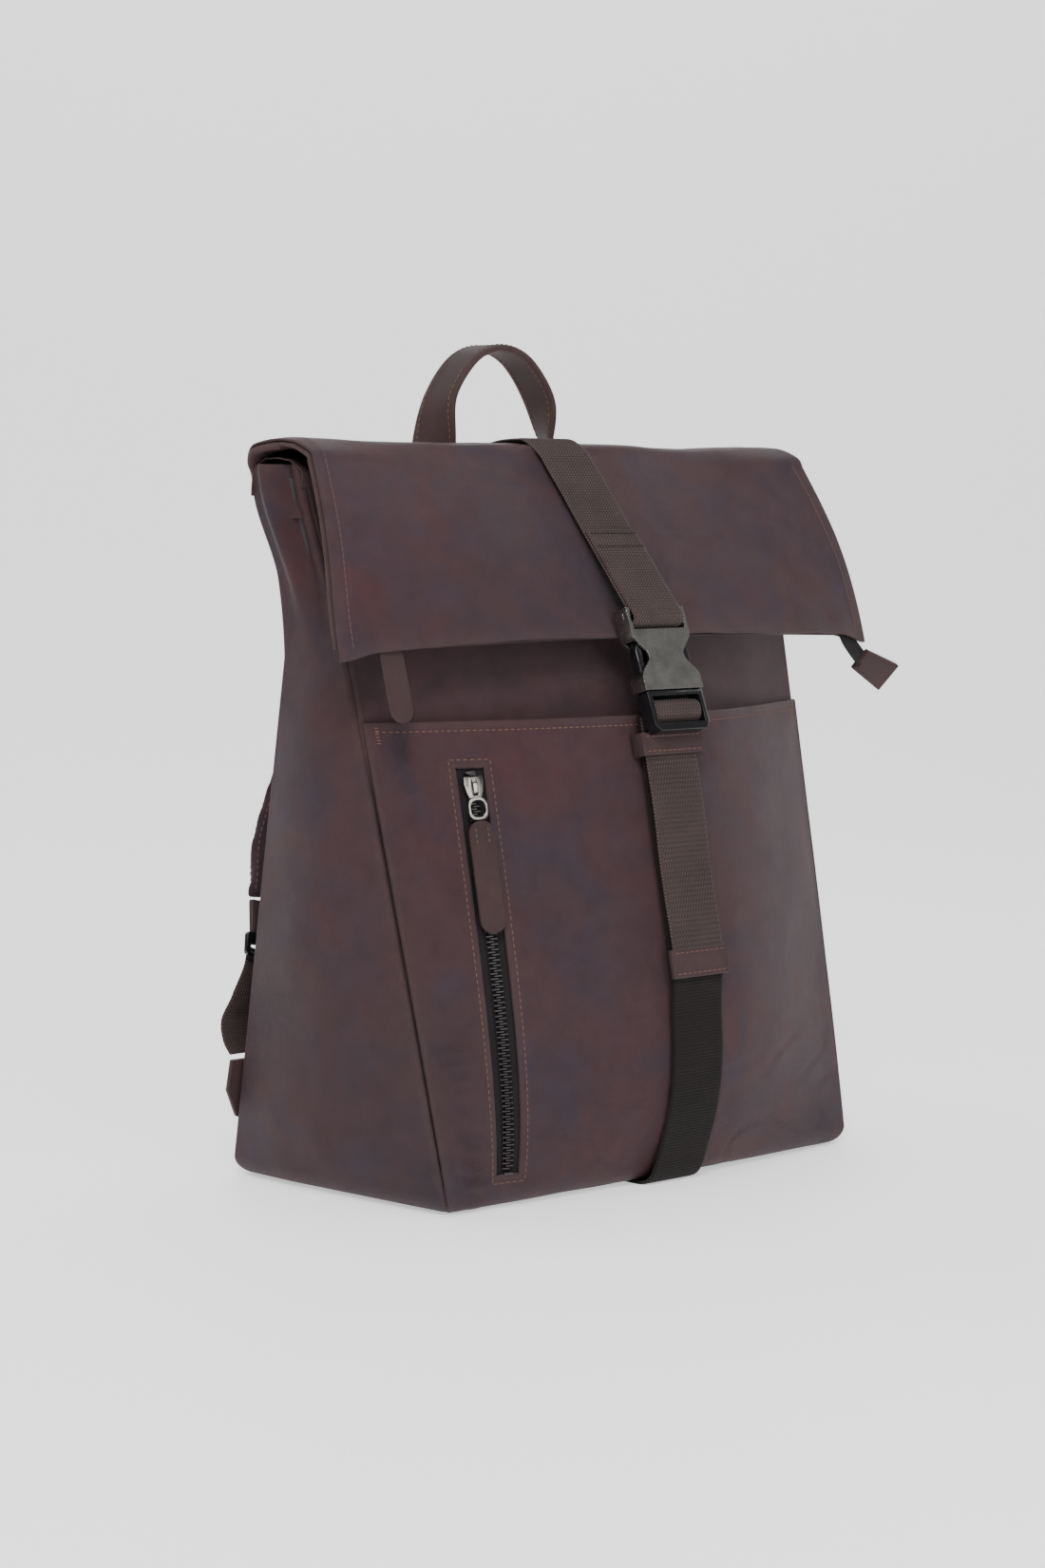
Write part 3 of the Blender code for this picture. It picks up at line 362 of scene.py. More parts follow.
def metal(name, dark, light, rough=(0.22, 0.38), brush=(1500.0, 500.0, 45.0)):
    """Brushed metal with tarnish in its clouds."""
    n = Nodes(name)
    streaks = n.noise(n.place(brush), 1.0, 4.0, 0.6)
    clouds = n.noise(n.place(), 90.0, 4.0, 0.6)
    n.feed(Base_Color=n.mix(n.fade(clouds, 0.3, 0.7), dark, light), Metallic=1.0,
           Roughness=n.span(streaks, *rough), Normal=n.bump(streaks, 0.00006, 0.35))
    return n.mat


def moulded(name, dark, light, rough=(0.25, 0.4)):
    """Moulded plastic, fibre board or foam."""
    n = Nodes(name)
    where = n.place()
    clouds = n.noise(where, 60.0, 4.0, 0.6)
    n.feed(Base_Color=n.mix(clouds, dark, light), Roughness=n.span(n.noise(where, 300.0, 3.0), *rough),
           Normal=n.bump(n.noise(where, 2200.0, 2.0), 0.00004, 0.4))
    return n.mat


def cloth(name, dark, light, scale=1500.0):
    """Plain woven cloth, by the place in space."""
    n = Nodes(name)
    where = n.place()
    checks = n.add("TexBrick", Scale=scale, Mortar_Size=0.02)
    n.put(where, checks.inputs["Vector"])
    fuzz = n.noise(where, 900.0, 4.0, 0.7)
    n.feed(Base_Color=n.mix(fuzz, dark, light), Roughness=0.9,
           Normal=n.bump(checks.outputs["Fac"], 0.0001, 0.4, n.bump(fuzz, 0.0002, 0.6)))
    return n.mat


# hide's grey is bluish purple, a painted sheen laid over its real grey mottling.
HIDE = leather("hide", (0.050, 0.0320, 0.0360), (0.062, 0.0290, 0.0315), (0.039, 0.0310, 0.0430))
HIDE_NECK = leather("hide_neck", (0.060, 0.0400, 0.0450), (0.070, 0.0370, 0.0410),
                    (0.046, 0.0330, 0.0370), grain=0.00040, cell=620.0, rough=(0.38, 0.52))
# hide_trim's edge colour paints its rims lighter: rubbed leather and painted highlight.
HIDE_TRIM = leather("hide_trim", (0.053, 0.0350, 0.0360), (0.062, 0.0330, 0.0340),
                    (0.042, 0.0300, 0.0300), edge=(0.085, 0.058, 0.050))
# The web's light colour sits on the weave's crests and its dark colour in the hollows: painted
# highlight and painted shade.
WEB = woven("web", (0.0095, 0.0065, 0.0065), (0.100, 0.0700, 0.0660))
# A much darker copy of the webbing: painted shade for the webbing behind the tail and under the bag.
WEB_PAINTED_SHADE = woven("web_low", (0.0035, 0.0025, 0.0022), (0.012, 0.0085, 0.0072))
TAPE = woven("tape", (0.008, 0.007, 0.008), (0.028, 0.023, 0.026), pitch=0.0006, depth=0.00012)
LINING = cloth("lining_cloth", (0.020, 0.018, 0.021), (0.045, 0.042, 0.046))
THREAD = cloth("thread", (0.100, 0.048, 0.035), (0.150, 0.080, 0.060), 4000.0)
THREAD_DARK = cloth("thread_dark", (0.016, 0.0095, 0.0085), (0.036, 0.0230, 0.0200), 4000.0)
GUNMETAL = metal("gunmetal", (0.31, 0.30, 0.28), (0.46, 0.45, 0.425), (0.20, 0.32))
ZIP_METAL = metal("zip_metal", (0.16, 0.15, 0.14), (0.34, 0.32, 0.29), (0.16, 0.3))
TEETH = moulded("teeth", (0.010, 0.0070, 0.0075), (0.020, 0.0140, 0.0145))
BLACK = moulded("black", (0.0035, 0.0035, 0.0045), (0.007, 0.007, 0.008), (0.16, 0.26))
BOARD = moulded("board", (0.04, 0.038, 0.04), (0.06, 0.058, 0.06), (0.6, 0.8))
FOAM = cloth("foam", (0.10, 0.10, 0.105), (0.16, 0.16, 0.165))


# ---- making pieces --------------------------------------------------------------------------

def put_in_scene(name, data):
    """A new object with this data, linked into the scene."""
    obj = bpy.data.objects.new(name, data)
    bpy.context.scene.collection.objects.link(obj)
    return obj


def finish_piece(name, build, finish, smooth_angle=40.0):
    """The built mesh as a named object with its finish."""
    mesh = bpy.data.meshes.new(name)
    build.to_mesh(mesh)
    build.free()
    mesh.materials.append(finish)
    mesh.shade_smooth()
    mesh.set_sharp_from_angle(angle=math.radians(smooth_angle))
    obj = put_in_scene(name, mesh)
    return obj


def settle(obj):
    """Applies the modifiers that obj has."""
    bpy.context.view_layer.update()
    done = bpy.data.meshes.new_from_object(obj.evaluated_get(bpy.context.evaluated_depsgraph_get()))
    obj.modifiers.clear()
    obj.data = done


def steps(low, high, count):
    """Even values from low to high in count steps."""
    return [low + (high - low) * i / count for i in range(count + 1)]


def stops(*runs):
    """Values joined from runs of (low, high, count), without doubles."""
    out = []
    for low, high, count in runs:
        out += [v for v in steps(low, high, count) if not out or v > out[-1] + 1e-7]
    return out


def lengths_along(points):
    """The length walked to each point."""
    lengths = [0.0]
    for a, b in zip(points, points[1:]):
        lengths.append(lengths[-1] + (b - a).length)
    return lengths


def between(a, b, c, d, t):
    """The smooth (Catmull-Rom) curve from b to c."""
    return 0.5 * (2 * b + (c - a) * t + (2 * a - 5 * b + 4 * c - d) * t * t
                  + (3 * b - a - 3 * c + d) * t ** 3)


def join_rings(build, rings):
    """Faces from each closed ring of corners to the next."""
    for one, two in zip(rings, rings[1:]):
        for i in range(len(one)):
            j = (i + 1) % len(one)
            build.faces.new([one[i], one[j], two[j], two[i]])


def carried(piece, body, *nodes):
    """The piece rides on a body and stands for these nodes."""
    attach(piece, body)
    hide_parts(*nodes)


def over_rear_fold(piece):
    """Bakes the piece's transform into its mesh."""
    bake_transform(piece)


def over_front_fold(piece):
    """Bakes the piece's transform into its mesh."""
    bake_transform(piece)


def grid_normals(points):
    """The outward direction at each point of a grid."""
    rows, cols = len(points), len(points[0])
    normals = []
    for i in range(rows):
        line = []
        for j in range(cols):
            du = points[min(i + 1, rows - 1)][j] - points[max(i - 1, 0)][j]
            dv = points[i][min(j + 1, cols - 1)] - points[i][max(j - 1, 0)]
            line.append(du.cross(dv).normalized())
        normals.append(line)
    return normals


def skin(name, us, vs, at, finish, thick=LEATHER, hole=None, rim_reach=0.004):
    """A leather sheet whose outer face is at(u, v): u cross v points out, and its rims are rounded."""
    points = [[at(u, v) for v in vs] for u in us]
    normals = grid_normals(points)
    build = bmesh.new()
    rim_layer = build.verts.layers.float.new("rim")
    outer = [[build.verts.new(p) for p in line] for line in points]
    inner = [[build.verts.new(p - n * thick) for p, n in zip(line, ns)]
             for line, ns in zip(points, normals)]
    edges = {}
    for i in range(len(us) - 1):
        for j in range(len(vs) - 1):
            if hole and hole((us[i] + us[i + 1]) / 2, (vs[j] + vs[j + 1]) / 2):
                continue
            ring = [(i, j), (i + 1, j), (i + 1, j + 1), (i, j + 1)]
            build.faces.new([outer[a][b] for a, b in ring])
            build.faces.new([inner[a][b] for a, b in reversed(ring)])
            for a, b in zip(ring, ring[1:] + ring[:1]):
                edges.setdefault(frozenset((a, b)), []).append((a, b))
    border = [uses[0] for uses in edges.values() if len(uses) == 1]
    outward = {}
    for a, b in border:
        pa, pb = points[a[0]][a[1]], points[b[0]][b[1]]
        away = (pb - pa).normalized().cross(normals[a[0]][a[1]])
        for key in (a, b):
            outward[key] = outward.get(key, Vector()) + away
    ribs = {}
    for key, away in outward.items():
        p, n = points[key[0]][key[1]], normals[key[0]][key[1]]
        away = away.normalized()
        ring = []
        for turn in (0.25, 0.5, 0.75):
            c, s = math.cos(math.pi * turn), math.sin(math.pi * turn)
            ring.append(build.verts.new(p + n * (thick / 2) * (c - 1) + away * (thick / 2) * s))
        ribs[key] = [outer[key[0]][key[1]]] + ring + [inner[key[0]][key[1]]]
    for a, b in border:
        for k in range(4):
            build.faces.new([ribs[b][k], ribs[a][k], ribs[a][k + 1], ribs[b][k + 1]])
    bmesh.ops.delete(build, geom=[v for v in build.verts if not v.link_faces], context="VERTS")
    # The rim attribute marks the sheet's borders, which the leather finishes paint lighter: rubbed
    # leather and painted highlight.
    tree = KDTree(len(outward))
    for k, key in enumerate(outward):
        tree.insert(points[key[0]][key[1]], k)
    tree.balance()
    for vert in build.verts:
        vert[rim_layer] = math.exp(-(tree.find(vert.co)[2] / rim_reach) ** 2)
    return finish_piece(name, build, finish)


def curve_through(points, gap):
    """A smooth curve through the points (Catmull-Rom), read again every gap metres."""
    ext = [points[0] * 2 - points[1]] + list(points) + [points[-1] * 2 - points[-2]]
    fine = []
    for k in range(len(points) - 1):
        a, b, c, d = ext[k:k + 4]
        for i in range(24):
            fine.append(between(a, b, c, d, i / 24))
    fine.append(points[-1].copy())
    lengths = lengths_along(fine)
    count = max(2, round(lengths[-1] / gap))
    out, k = [], 0
    for i in range(count + 1):
        want = lengths[-1] * i / count
        while k < len(fine) - 2 and lengths[k + 1] < want:
            k += 1
        share = (want - lengths[k]) / max(1e-9, lengths[k + 1] - lengths[k])
        out.append(fine[k].lerp(fine[k + 1], share))
    return out


def strap_frames(path, sides):
    """For each point of a path its width direction and its outward direction."""
    last = len(path) - 1
    frames = []
    for i in range(last + 1):
        along = (path[min(i + 1, last)] - path[max(i - 1, 0)]).normalized()
        side = (sides(i / last) - along * sides(i / last).dot(along)).normalized()
        frames.append((side, side.cross(along).normalized()))
    return frames


def band(name, path, sides, section, finish, smooth_angle=50.0):
    """A strap skinned from section(s, share), a closed list of (across, up) at length s."""
    frames = strap_frames(path, sides)
    build = bmesh.new()
    uv_layer = build.loops.layers.uv.new("UVMap")
    rim_layer = build.verts.layers.float.new("rim")
    lengths = lengths_along(path)
    rings, places = [], []
    for point, (side, up), s in zip(path, frames, lengths):
        shape = section(s, s / lengths[-1])
        rings.append([build.verts.new(point + side * a + up * b) for a, b in shape])
        places.append([(a, s) for a, _ in shape])
        # The rim attribute marks the strap's sides, which the leather finishes paint lighter: rubbed
        # leather and painted highlight.
        widest = max(abs(a) for a, _ in shape)
        for vert, (a, _) in zip(rings[-1], shape):
            vert[rim_layer] = math.exp(-((widest - abs(a)) / 0.0016) ** 2)
    count = len(rings[0])
    for k in range(len(rings) - 1):
        for i in range(count):
            j = (i + 1) % count
            face = build.faces.new([rings[k][i], rings[k][j], rings[k + 1][j], rings[k + 1][i]])
            spots = (places[k][i], places[k][j], places[k + 1][j], places[k + 1][i])
            for loop, spot in zip(face.loops, spots):
                loop[uv_layer].uv = spot
    for ring, place, flip in ((rings[0], places[0], True), (rings[-1], places[-1], False)):
        order = list(range(count))
        if flip:
            order.reverse()
        face = build.faces.new([ring[i] for i in order])
        for loop, i in zip(face.loops, order):
            loop[uv_layer].uv = place[i]
    bmesh.ops.recalc_face_normals(build, faces=build.faces)
    return finish_piece(name, build, finish, smooth_angle)


def web_section(width, thick, pitch, rise, count=22):
    """A webbing's cross-section: ribs across both faces, a plain rounded selvedge."""
    def at(s, share):
        wave = math.sin(2 * math.pi * s / pitch)
        rib = rise * (abs(wave) ** 0.6) * (1 if wave > 0 else -1)
        out = []
        for face in (1, -1):
            for a in steps(-width / 2 + 0.0008, width / 2 - 0.0008, count):
                inside = ease((width / 2 - abs(a)) / 0.0028)
                out.append((a * face, face * (thick / 2) + face * rib * inside))
            out.append((face * width / 2, 0.0))
        return out
    return at


def level_side(share):
    """The width direction of a webbing that lies level."""
    return Vector((1, 0, 0))


def webbing(name, points, finish=WEB, width=WEBBING_WIDTH, thick=WEBBING, pitch=0.0017, rise=0.00024,
            sides=level_side):
    """A ribbed webbing through the points."""
    path = curve_through(points, pitch / 5)
    return band(name, path, sides, web_section(width, thick, pitch, rise), finish, 80.0)


class Thread:
    """Many small stitches, each a short thread that dips into the leather at both ends."""

    def __init__(self, name, radius=0.00035, finish=None):
        self.name, self.radius, self.finish = name, radius, finish or THREAD
        self.build = bmesh.new()

    def stitch(self, start, end, up, rise=0.0003):
        along = end - start
        side = along.cross(up).normalized()
        rings = []
        for t, fat in ((0.0, 0.35), (0.12, 0.85), (0.35, 1.0), (0.65, 1.0), (0.88, 0.85), (1.0, 0.35)):
            lift = rise * math.sin(math.pi * t) - self.radius * 0.55 * (1 - math.sin(math.pi * t))
            centre = start + along * t + up * lift
            rings.append([self.build.verts.new(centre + (side * math.cos(a) + up * math.sin(a))
                                               * self.radius * fat)
                          for a in (k * math.pi / 3 for k in range(6))])
        join_rings(self.build, rings)
        self.build.faces.new(list(reversed(rings[0])))
        self.build.faces.new(rings[-1])

    def row(self, line, pitch=0.0036, share=0.68):
        """Stitches along a line of (point, outward) pairs."""
        lengths = lengths_along([point for point, _ in line])
        count = max(1, int(lengths[-1] / pitch))
        gap = lengths[-1] / count

        def read(want):
            k = 0
            while k < len(line) - 2 and lengths[k + 1] < want:
                k += 1
            f = (want - lengths[k]) / max(1e-9, lengths[k + 1] - lengths[k])
            return line[k][0].lerp(line[k + 1][0], f), line[k][1].lerp(line[k + 1][1], f).normalized()

        for i in range(count):
            a, up = read(gap * (i + (1 - share) / 2))
            b, _ = read(gap * (i + (1 + share) / 2))
            self.stitch(a, b, up)

    def done(self, body=None):
        bmesh.ops.recalc_face_normals(self.build, faces=self.build.faces)
        obj = finish_piece(self.name, self.build, self.finish, 70.0)
        if body:
            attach(obj, body)
        return obj


def on_surface(at, uvs, lift=0.0):
    """(point, outward) pairs on the surface at(u, v), for a row of stitches."""
    out = []
    for u, v in uvs:
        step = 1e-4
        p = at(u, v)
        along_u, along_v = at(u + step, v) - at(u - step, v), at(u, v + step) - at(u, v - step)
        normal = along_u.cross(along_v).normalized()
        out.append((p + normal * lift, normal))
    return out


REFINED = {}


def refined(node, finish, bevel=0.0005, segments=3, angle=28.0):
    """A new piece from a CAD node's solid, its edges bevelled."""
    mesh = frame["nodes"][node].data.copy()
    build = bmesh.new()
    build.from_mesh(mesh)
    bmesh.ops.remove_doubles(build, verts=build.verts, dist=1e-6)
    bmesh.ops.dissolve_limit(build, angle_limit=math.radians(1.0), verts=build.verts,
                             edges=build.edges)
    obj = finish_piece(node + "_look", build, finish, angle)
    bpy.data.meshes.remove(mesh)
    edge = obj.modifiers.new("bevel", "BEVEL")
    edge.width, edge.segments, edge.limit_method = bevel, segments, "ANGLE"
    edge.angle_limit = math.radians(angle)
    edge.harden_normals = False
    settle(obj)
    obj.data.shade_smooth()
    obj.data.set_sharp_from_angle(angle=math.radians(50))
    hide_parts(node)
    REFINED[node] = obj
    return obj


def laid_on(obj, points, toward):
    """(point, outward) pairs where the points, seen along toward, fall on obj's surface."""
    tree = BVHTree.FromPolygons([v.co for v in obj.data.vertices],
                                [f.vertices for f in obj.data.polygons])
    out = []
    for point in points:
        hit, normal, _, _ = tree.ray_cast(point - toward * 0.03, toward)
        if hit is not None:
            out.append((hit, normal if normal.dot(toward) < 0 else -normal))
    return out


def body_of(node):
    """The moving body that carries a CAD node."""
    return frame["nodes"][node]["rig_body"]


def bump_at(x, y, z, scale, seed=0.0):
    """Smooth noise at a place, from -1 to 1."""
    return noise.noise(Vector((x * scale + seed, y * scale - seed, z * scale + 2 * seed)))


# ---- the bag's shell ------------------------------------------------------------------------

TURN = math.radians(96)
TURN_IN = SEAM * (math.sin(TURN) + 1 - math.cos(TURN))     # from the corner to where the turn starts


def turned(q):
    """How far a seam's edge has gone (across, inward) for q from 0, flat, to 1, at the seam."""
    a = TURN * min(1.0, max(0.0, q))
    return SEAM * math.sin(a), SEAM * (1 - math.cos(a))


def tucked(z):
    """(height, how far inward) of the shell by height: its lowest part rolls under onto the base."""
    if z >= FLOOR_TURN:
        return z, 0.0
    a = math.pi / 2 * (1 - z / FLOOR_TURN)
    return FLOOR_TURN * (1 - math.sin(a)) + 0.0006, FLOOR_TURN * (1 - math.cos(a))


SOFT_WIDE, SOFT_NARROW = 0.0017, 0.0007      # heights of the filled leather's unevenness
CREASE, PLEAT, PLEAT_X = 0.0007, 0.0013, -0.140


def folds(x, z, seed):
    """Soft unevenness and long shallow creases of filled leather."""
    soft = SOFT_WIDE * bump_at(x, 0, z, 11, seed) + SOFT_NARROW * bump_at(x, 0, z, 30, seed + 4)
    bend = bump_at(x, 0, z * 2.4, 16, seed + 9)
    crease = -CREASE * math.exp(-(bend / 0.09) ** 2) * ease((0.085 - z) / 0.06 + 0.25)
    near = math.exp(-((x - PLEAT_X) / 0.020) ** 2) * ease((0.135 - z) / 0.09)
    pleats = PLEAT * near * math.sin(z * 560 + 9 * bump_at(x, 2, z, 22, seed))
    return soft + crease + pleats


SLOT_LEFT, SLOT_RIGHT = ZIP_X - ZIP_SLOT_HALF, ZIP_X + ZIP_SLOT_HALF


def panel_x(q, z):
    """Across a front panel: q from -1 to 1 on its face, with the zip's slot from -0.6 to -0.5."""
    edge = half_width(z) - TURN_IN
    knots = ((-1.0, -edge), (-0.6, SLOT_LEFT), (-0.5, SLOT_RIGHT), (1.0, edge))
    for (qa, xa), (qb, xb) in zip(knots, knots[1:]):
        if q <= qb:
            return xa + (xb - xa) * (q - qa) / (qb - qa)
    return edge


def front_at(face, seed, calm=1.0):
    """The front or pocket panel, over face(x, z), as a surface of (q, height)."""
    def at(q, z):
        height, under = tucked(z)
        flat = min(1.0, max(-1.0, q))
        x = panel_x(flat, z)
        side, back = turned(abs(q) - 1)
        inside = ease((half_width(z) - abs(x)) / 0.022)
        slot = ease((abs(x - ZIP_X) - 0.008) / 0.016)
        strap = 0.25 + 0.75 * ease((abs(x) - 0.024) / 0.020)
        y = face(x, max(z, 0.002)) - folds(x, z, seed) * inside * slot * strap * calm
        corner = under * ease(1 - (half_width(z) - abs(x)) / 0.035)
        return Vector((x + (side - corner) * math.copysign(1, q), y + back + under, height))
    return at


SIDE_BELLY = 0.0085                              # how far the filled sides swell
GATHER_START, GATHER_OUT, GATHER_IN = 0.285, 0.0070, 0.0060     # folds drawn in towards the neck


def side_at(side):
    """The side gusset as a surface of (p, height)."""
    def at(p, z):
        """p from 0 to 1 between the front and back seams' turns, beyond them round the turns."""
        height, under = tucked(z)
        flat = min(1.0, max(0.0, p))
        run_front = corner_front(z) + TURN_IN
        run_back = back_face(z) - TURN_IN
        past = max(-p, p - 1, 0.0)
        step, back = turned(past)
        y = run_front + (run_back - run_front) * flat + (step if p > 0.5 else -step)
        y += under * (ease(1 - flat / 0.22) - ease(1 - (1 - flat) / 0.22))
        inside = math.sin(math.pi * flat)
        soft = SIDE_BELLY * inside * ease(z / 0.05 + 0.2) * ease((0.33 - z) / 0.16)
        soft += (0.0018 * bump_at(y, 7, z, 14, side) + 0.0009 * bump_at(y, 3, z, 34, side)) * inside
        gather = ease((z - GATHER_START) / 0.08)
        soft += gather * inside * (GATHER_OUT * math.exp(-((flat - 0.60) / 0.20) ** 2)
                                   - GATHER_IN * math.exp(-((flat - 0.22) / 0.15) ** 2))
        return Vector((side * (half_width(z) + soft - back - under), y, height))
    return at


PAD_COLUMN, PAD_HALF = 0.0640, 0.0530        # the middle and half width of each padded column
PAD_LOW, PAD_HIGH, PAD_CROWN = 0.0480, 0.2860, 0.0050
QUILT_ROWS = (0.1080, 0.1670, 0.2260)


def back_padding(x, z):
    """How far the back's two quilted columns stand out."""
    side = 1 - min(1.0, abs(abs(x) - PAD_COLUMN) / PAD_HALF) ** 3.5
    rise = 1 - min(1.0, abs(z - (PAD_LOW + PAD_HIGH) / 2) / ((PAD_HIGH - PAD_LOW) / 2)) ** 8
    quilt = sum(math.exp(-((z - row) / 0.0070) ** 2) for row in QUILT_ROWS)
    return PAD_CROWN * side * rise * (1 - 0.62 * quilt)


def back_at(q, z):
    """The padded back as a surface of (q, height)."""
    height, under = tucked(z)
    flat = min(1.0, max(-1.0, q))
    edge = half_width(z) - TURN_IN
    step, back = turned(abs(q) - 1)
    x = edge * flat
    soft = 0.0008 * bump_at(x, 11, z, 18) * ease((half_width(z) - abs(x)) / 0.03)
    soft += back_padding(x, z)
    corner = under * ease(1 - (half_width(z) - abs(x)) / 0.035)
    x += (step - corner) * math.copysign(1, q)
    return Vector((x, back_face(z) + soft - back - under, height))


SEAM_STEPS_LOW = steps(-2, -1, 9)
SEAM_STEPS_HIGH = steps(1, 2, 9)
FACE_STEPS = stops((-1, -0.6, 22), (-0.6, -0.5, 6), (-0.5, 1, 96))
PANEL_US = SEAM_STEPS_LOW[:-1] + FACE_STEPS + SEAM_STEPS_HIGH[1:]

pocket_at = front_at(pocket_face, 3.0)
body_at = front_at(body_face, 8.0, 0.7)


def pocket_slot(q, z):
    return -0.6 < q < -0.5 and ZIP_SLOT_BOTTOM < z < ZIP_SLOT_TOP


pocket = skin("pocket_leather", PANEL_US,
              stops((0.0, FLOOR_TURN, 8), (FLOOR_TURN, ZIP_SLOT_BOTTOM, 5),
                    (ZIP_SLOT_BOTTOM, ZIP_SLOT_TOP, 90), (ZIP_SLOT_TOP, POCKET_TOP, 12)),
              pocket_at, HIDE, 0.0024, pocket_slot)
carried(pocket, "root", "front_pocket_panel")

body = skin("body_leather", PANEL_US, stops((0.004, 0.200, 40), (0.200, NECK_TOP, 80)),
            body_at, HIDE_NECK)
carried(body, "root", "front_panel")

SIDE_PS = steps(-1, 0, 9)[:-1] + steps(0, 1, 44) + steps(1, 2, 9)[1:]
SIDE_ZS = stops((0.0, FLOOR_TURN, 8), (FLOOR_TURN, 0.3915, 130))
for side, word in SIDES:
    across_side = SIDE_PS if side > 0 else SIDE_PS[::-1]
    gusset = skin("gusset_leather_" + word, across_side, SIDE_ZS, side_at(side), HIDE)
    carried(gusset, "root", "side_gusset_" + word)

BACK_US = [-q for q in SEAM_STEPS_LOW[:-1] + steps(-1, 1, 140) + SEAM_STEPS_HIGH[1:]]
back = skin("back_leather", BACK_US, stops((0.0, FLOOR_TURN, 8), (FLOOR_TURN, 0.366, 150)),
            back_at, HIDE)
carried(back, "root", "back_panel")

EDGE_IN = FLOOR_TURN - 0.0010


def base_at(u, v):
    """The base between the shell's turned lower edges."""
    y = -BASE_HALF_DEPTH + EDGE_IN + v * (2 * BASE_HALF_DEPTH - 2 * EDGE_IN)
    x = u * (BASE_HALF_WIDTH - EDGE_IN)
    out = -STUFFING * (1 - math.exp(-0.002 / STUFFING_RISE)) * math.cos(math.pi / 2 * abs(u)) * (1 - v)
    return Vector((x, y + out, 0.0007 + 0.0003 * bump_at(x, y, 0, 30)))


base = skin("base_leather", steps(1, -1, 60), steps(0, 1, 34), base_at, HIDE_NECK)
carried(base, "root", "base_panel")

for node, finish in (("lining", LINING), ("zip_pocket_bag", LINING), ("base_board", BOARD),
                     ("back_foam", FOAM)):
    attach(refined(node, finish, 0.0004, 2), body_of(node))


# ---- the rolled top and the flap ------------------------------------------------------------

MID_Y = (BACK_HINGE_Y + FRONT_HINGE_Y) / 2
ROLL_R = back_face(NECK_TOP) - BACK_HINGE_Y


def top_rise(y):
    """How much the rolled top is puffed up above its fold line."""
    return 0.0048 * max(0.0, 1 - ((y - MID_Y) / 0.027) ** 2)


def roll_line(x):
    """The outer skin's line from the yoke over the top to the flap's lip, as (point, x share)."""
    line = [Vector((x, back_face(z) + 0.0004, z)) for z in (0.352, 0.360, 0.368, 0.376, 0.382)]
    centre = Vector((x, BACK_HINGE_Y, FOLD_TOP - ROLL_R))
    line += [centre + Vector((0, math.cos(a), math.sin(a))) * ROLL_R
             for a in (math.radians(d) for d in (0, 18, 36, 54, 72, 90))]
    line = [point + Vector((0, 0, top_rise(point.y))) for point in line]
    line += [Vector((x, y, FOLD_TOP + top_rise(y))) for y in (0.016, MID_Y, 0.0, -0.008)]
    line += [flap_point(x, t, 0) for t in (0.02, 0.08, 0.16, 0.26, 0.38, 0.50, 0.62, 0.74, 0.86, 1.0)]
    return line


MID_INDEX = 12       # where roll_line's line crosses the middle of the top


def along_line(points, share):
    """A point on a smooth line through the points, by its share of their count."""
    place = min(len(points) - 1 - 1e-9, max(0.0, share * (len(points) - 1)))
    k = int(place)
    t = place - k
    before, after = points[max(0, k - 1)], points[min(len(points) - 1, k + 2)]
    return between(before, points[k], points[k + 1], after, t)


LINES = {}
REAR_TAPER = 0.0140                          # how much narrower the roll ends on the back
PINCH_LEFT, PINCH_RIGHT = 0.0015, 0.0085     # how far the roll's ends draw in over the top
SAG_WIDE, SAG_NARROW = 0.0016, 0.0007
WEBBING_PULL = 0.0022                        # how far the webbing presses into the flap
SIDE_DROP, SIDE_DROP_X = 0.0013, 0.105
CORNER_DROOP = 0.0040


def corner_droop(q, past):
    """How far the lip's corners hang, past from 0 to 1 towards the lip."""
    return CORNER_DROOP * ease((abs(q) - 0.88) / 0.12) * ease(past)


def roll_at(q, share):
    """The roll's outer face: q across from -1 to 1, share from the yoke to the lip."""
    width = FOLD_HALF_WIDTH + (LIP_HALF_WIDTH - FOLD_HALF_WIDTH) * ease((share - 0.62) / 0.38)
    width -= REAR_TAPER * ease((0.42 - share) / 0.42)
    width -= (PINCH_RIGHT if q > 0 else PINCH_LEFT) * math.exp(-((share - 0.50) / 0.06) ** 2)
    x = q * width
    key = round(x, 6)
    if key not in LINES:
        LINES[key] = roll_line(x)
    point = along_line(LINES[key], share)
    free = ease((1 - abs(q)) / 0.05 + 0.15)
    sag = SAG_WIDE * bump_at(x, point.y, point.z, 13, 5) * free
    sag += SAG_NARROW * bump_at(x, point.y, point.z, 36, 2) * free
    pulled = WEBBING_PULL * math.exp(-(x / 0.035) ** 2) * ease((share - 0.5) / 0.3)
    drop = SIDE_DROP * math.exp(-((abs(x) - SIDE_DROP_X) / 0.045) ** 2)
    drop *= ease(min(share - 0.30, 0.75 - share) / 0.12)
    out = Vector((0, -0.45, 0.9)) if share > 0.45 else Vector((0, 0.5, 0.86))
    hang = Vector((0, 0, corner_droop(q, (share - 0.80) / 0.2)))
    return point + out * (sag - pulled * 0.5 - drop) - hang


MID_SHARE = MID_INDEX / 24
ROLL_US = steps(-1, 1, 120)
rear_roll = skin("roll_leather_rear", ROLL_US, steps(MID_SHARE, 0.0, 34), roll_at, HIDE)
over_rear_fold(rear_roll)
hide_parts("top_fold_outer")
front_roll = skin("flap_leather", ROLL_US, steps(1.0, MID_SHARE, 66), roll_at, HIDE)
over_front_fold(front_roll)
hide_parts("flap_outer")


PULLER_X, PULLER_HALF = -0.172, 0.0115       # where the mouth zip's puller hangs
PLY_START, PLY_REACH, PLY_NOTCH = 0.03, 0.955, 0.115
PLY_JOIN = 0.0022                            # how far the ply comes up to meet the edges' plies


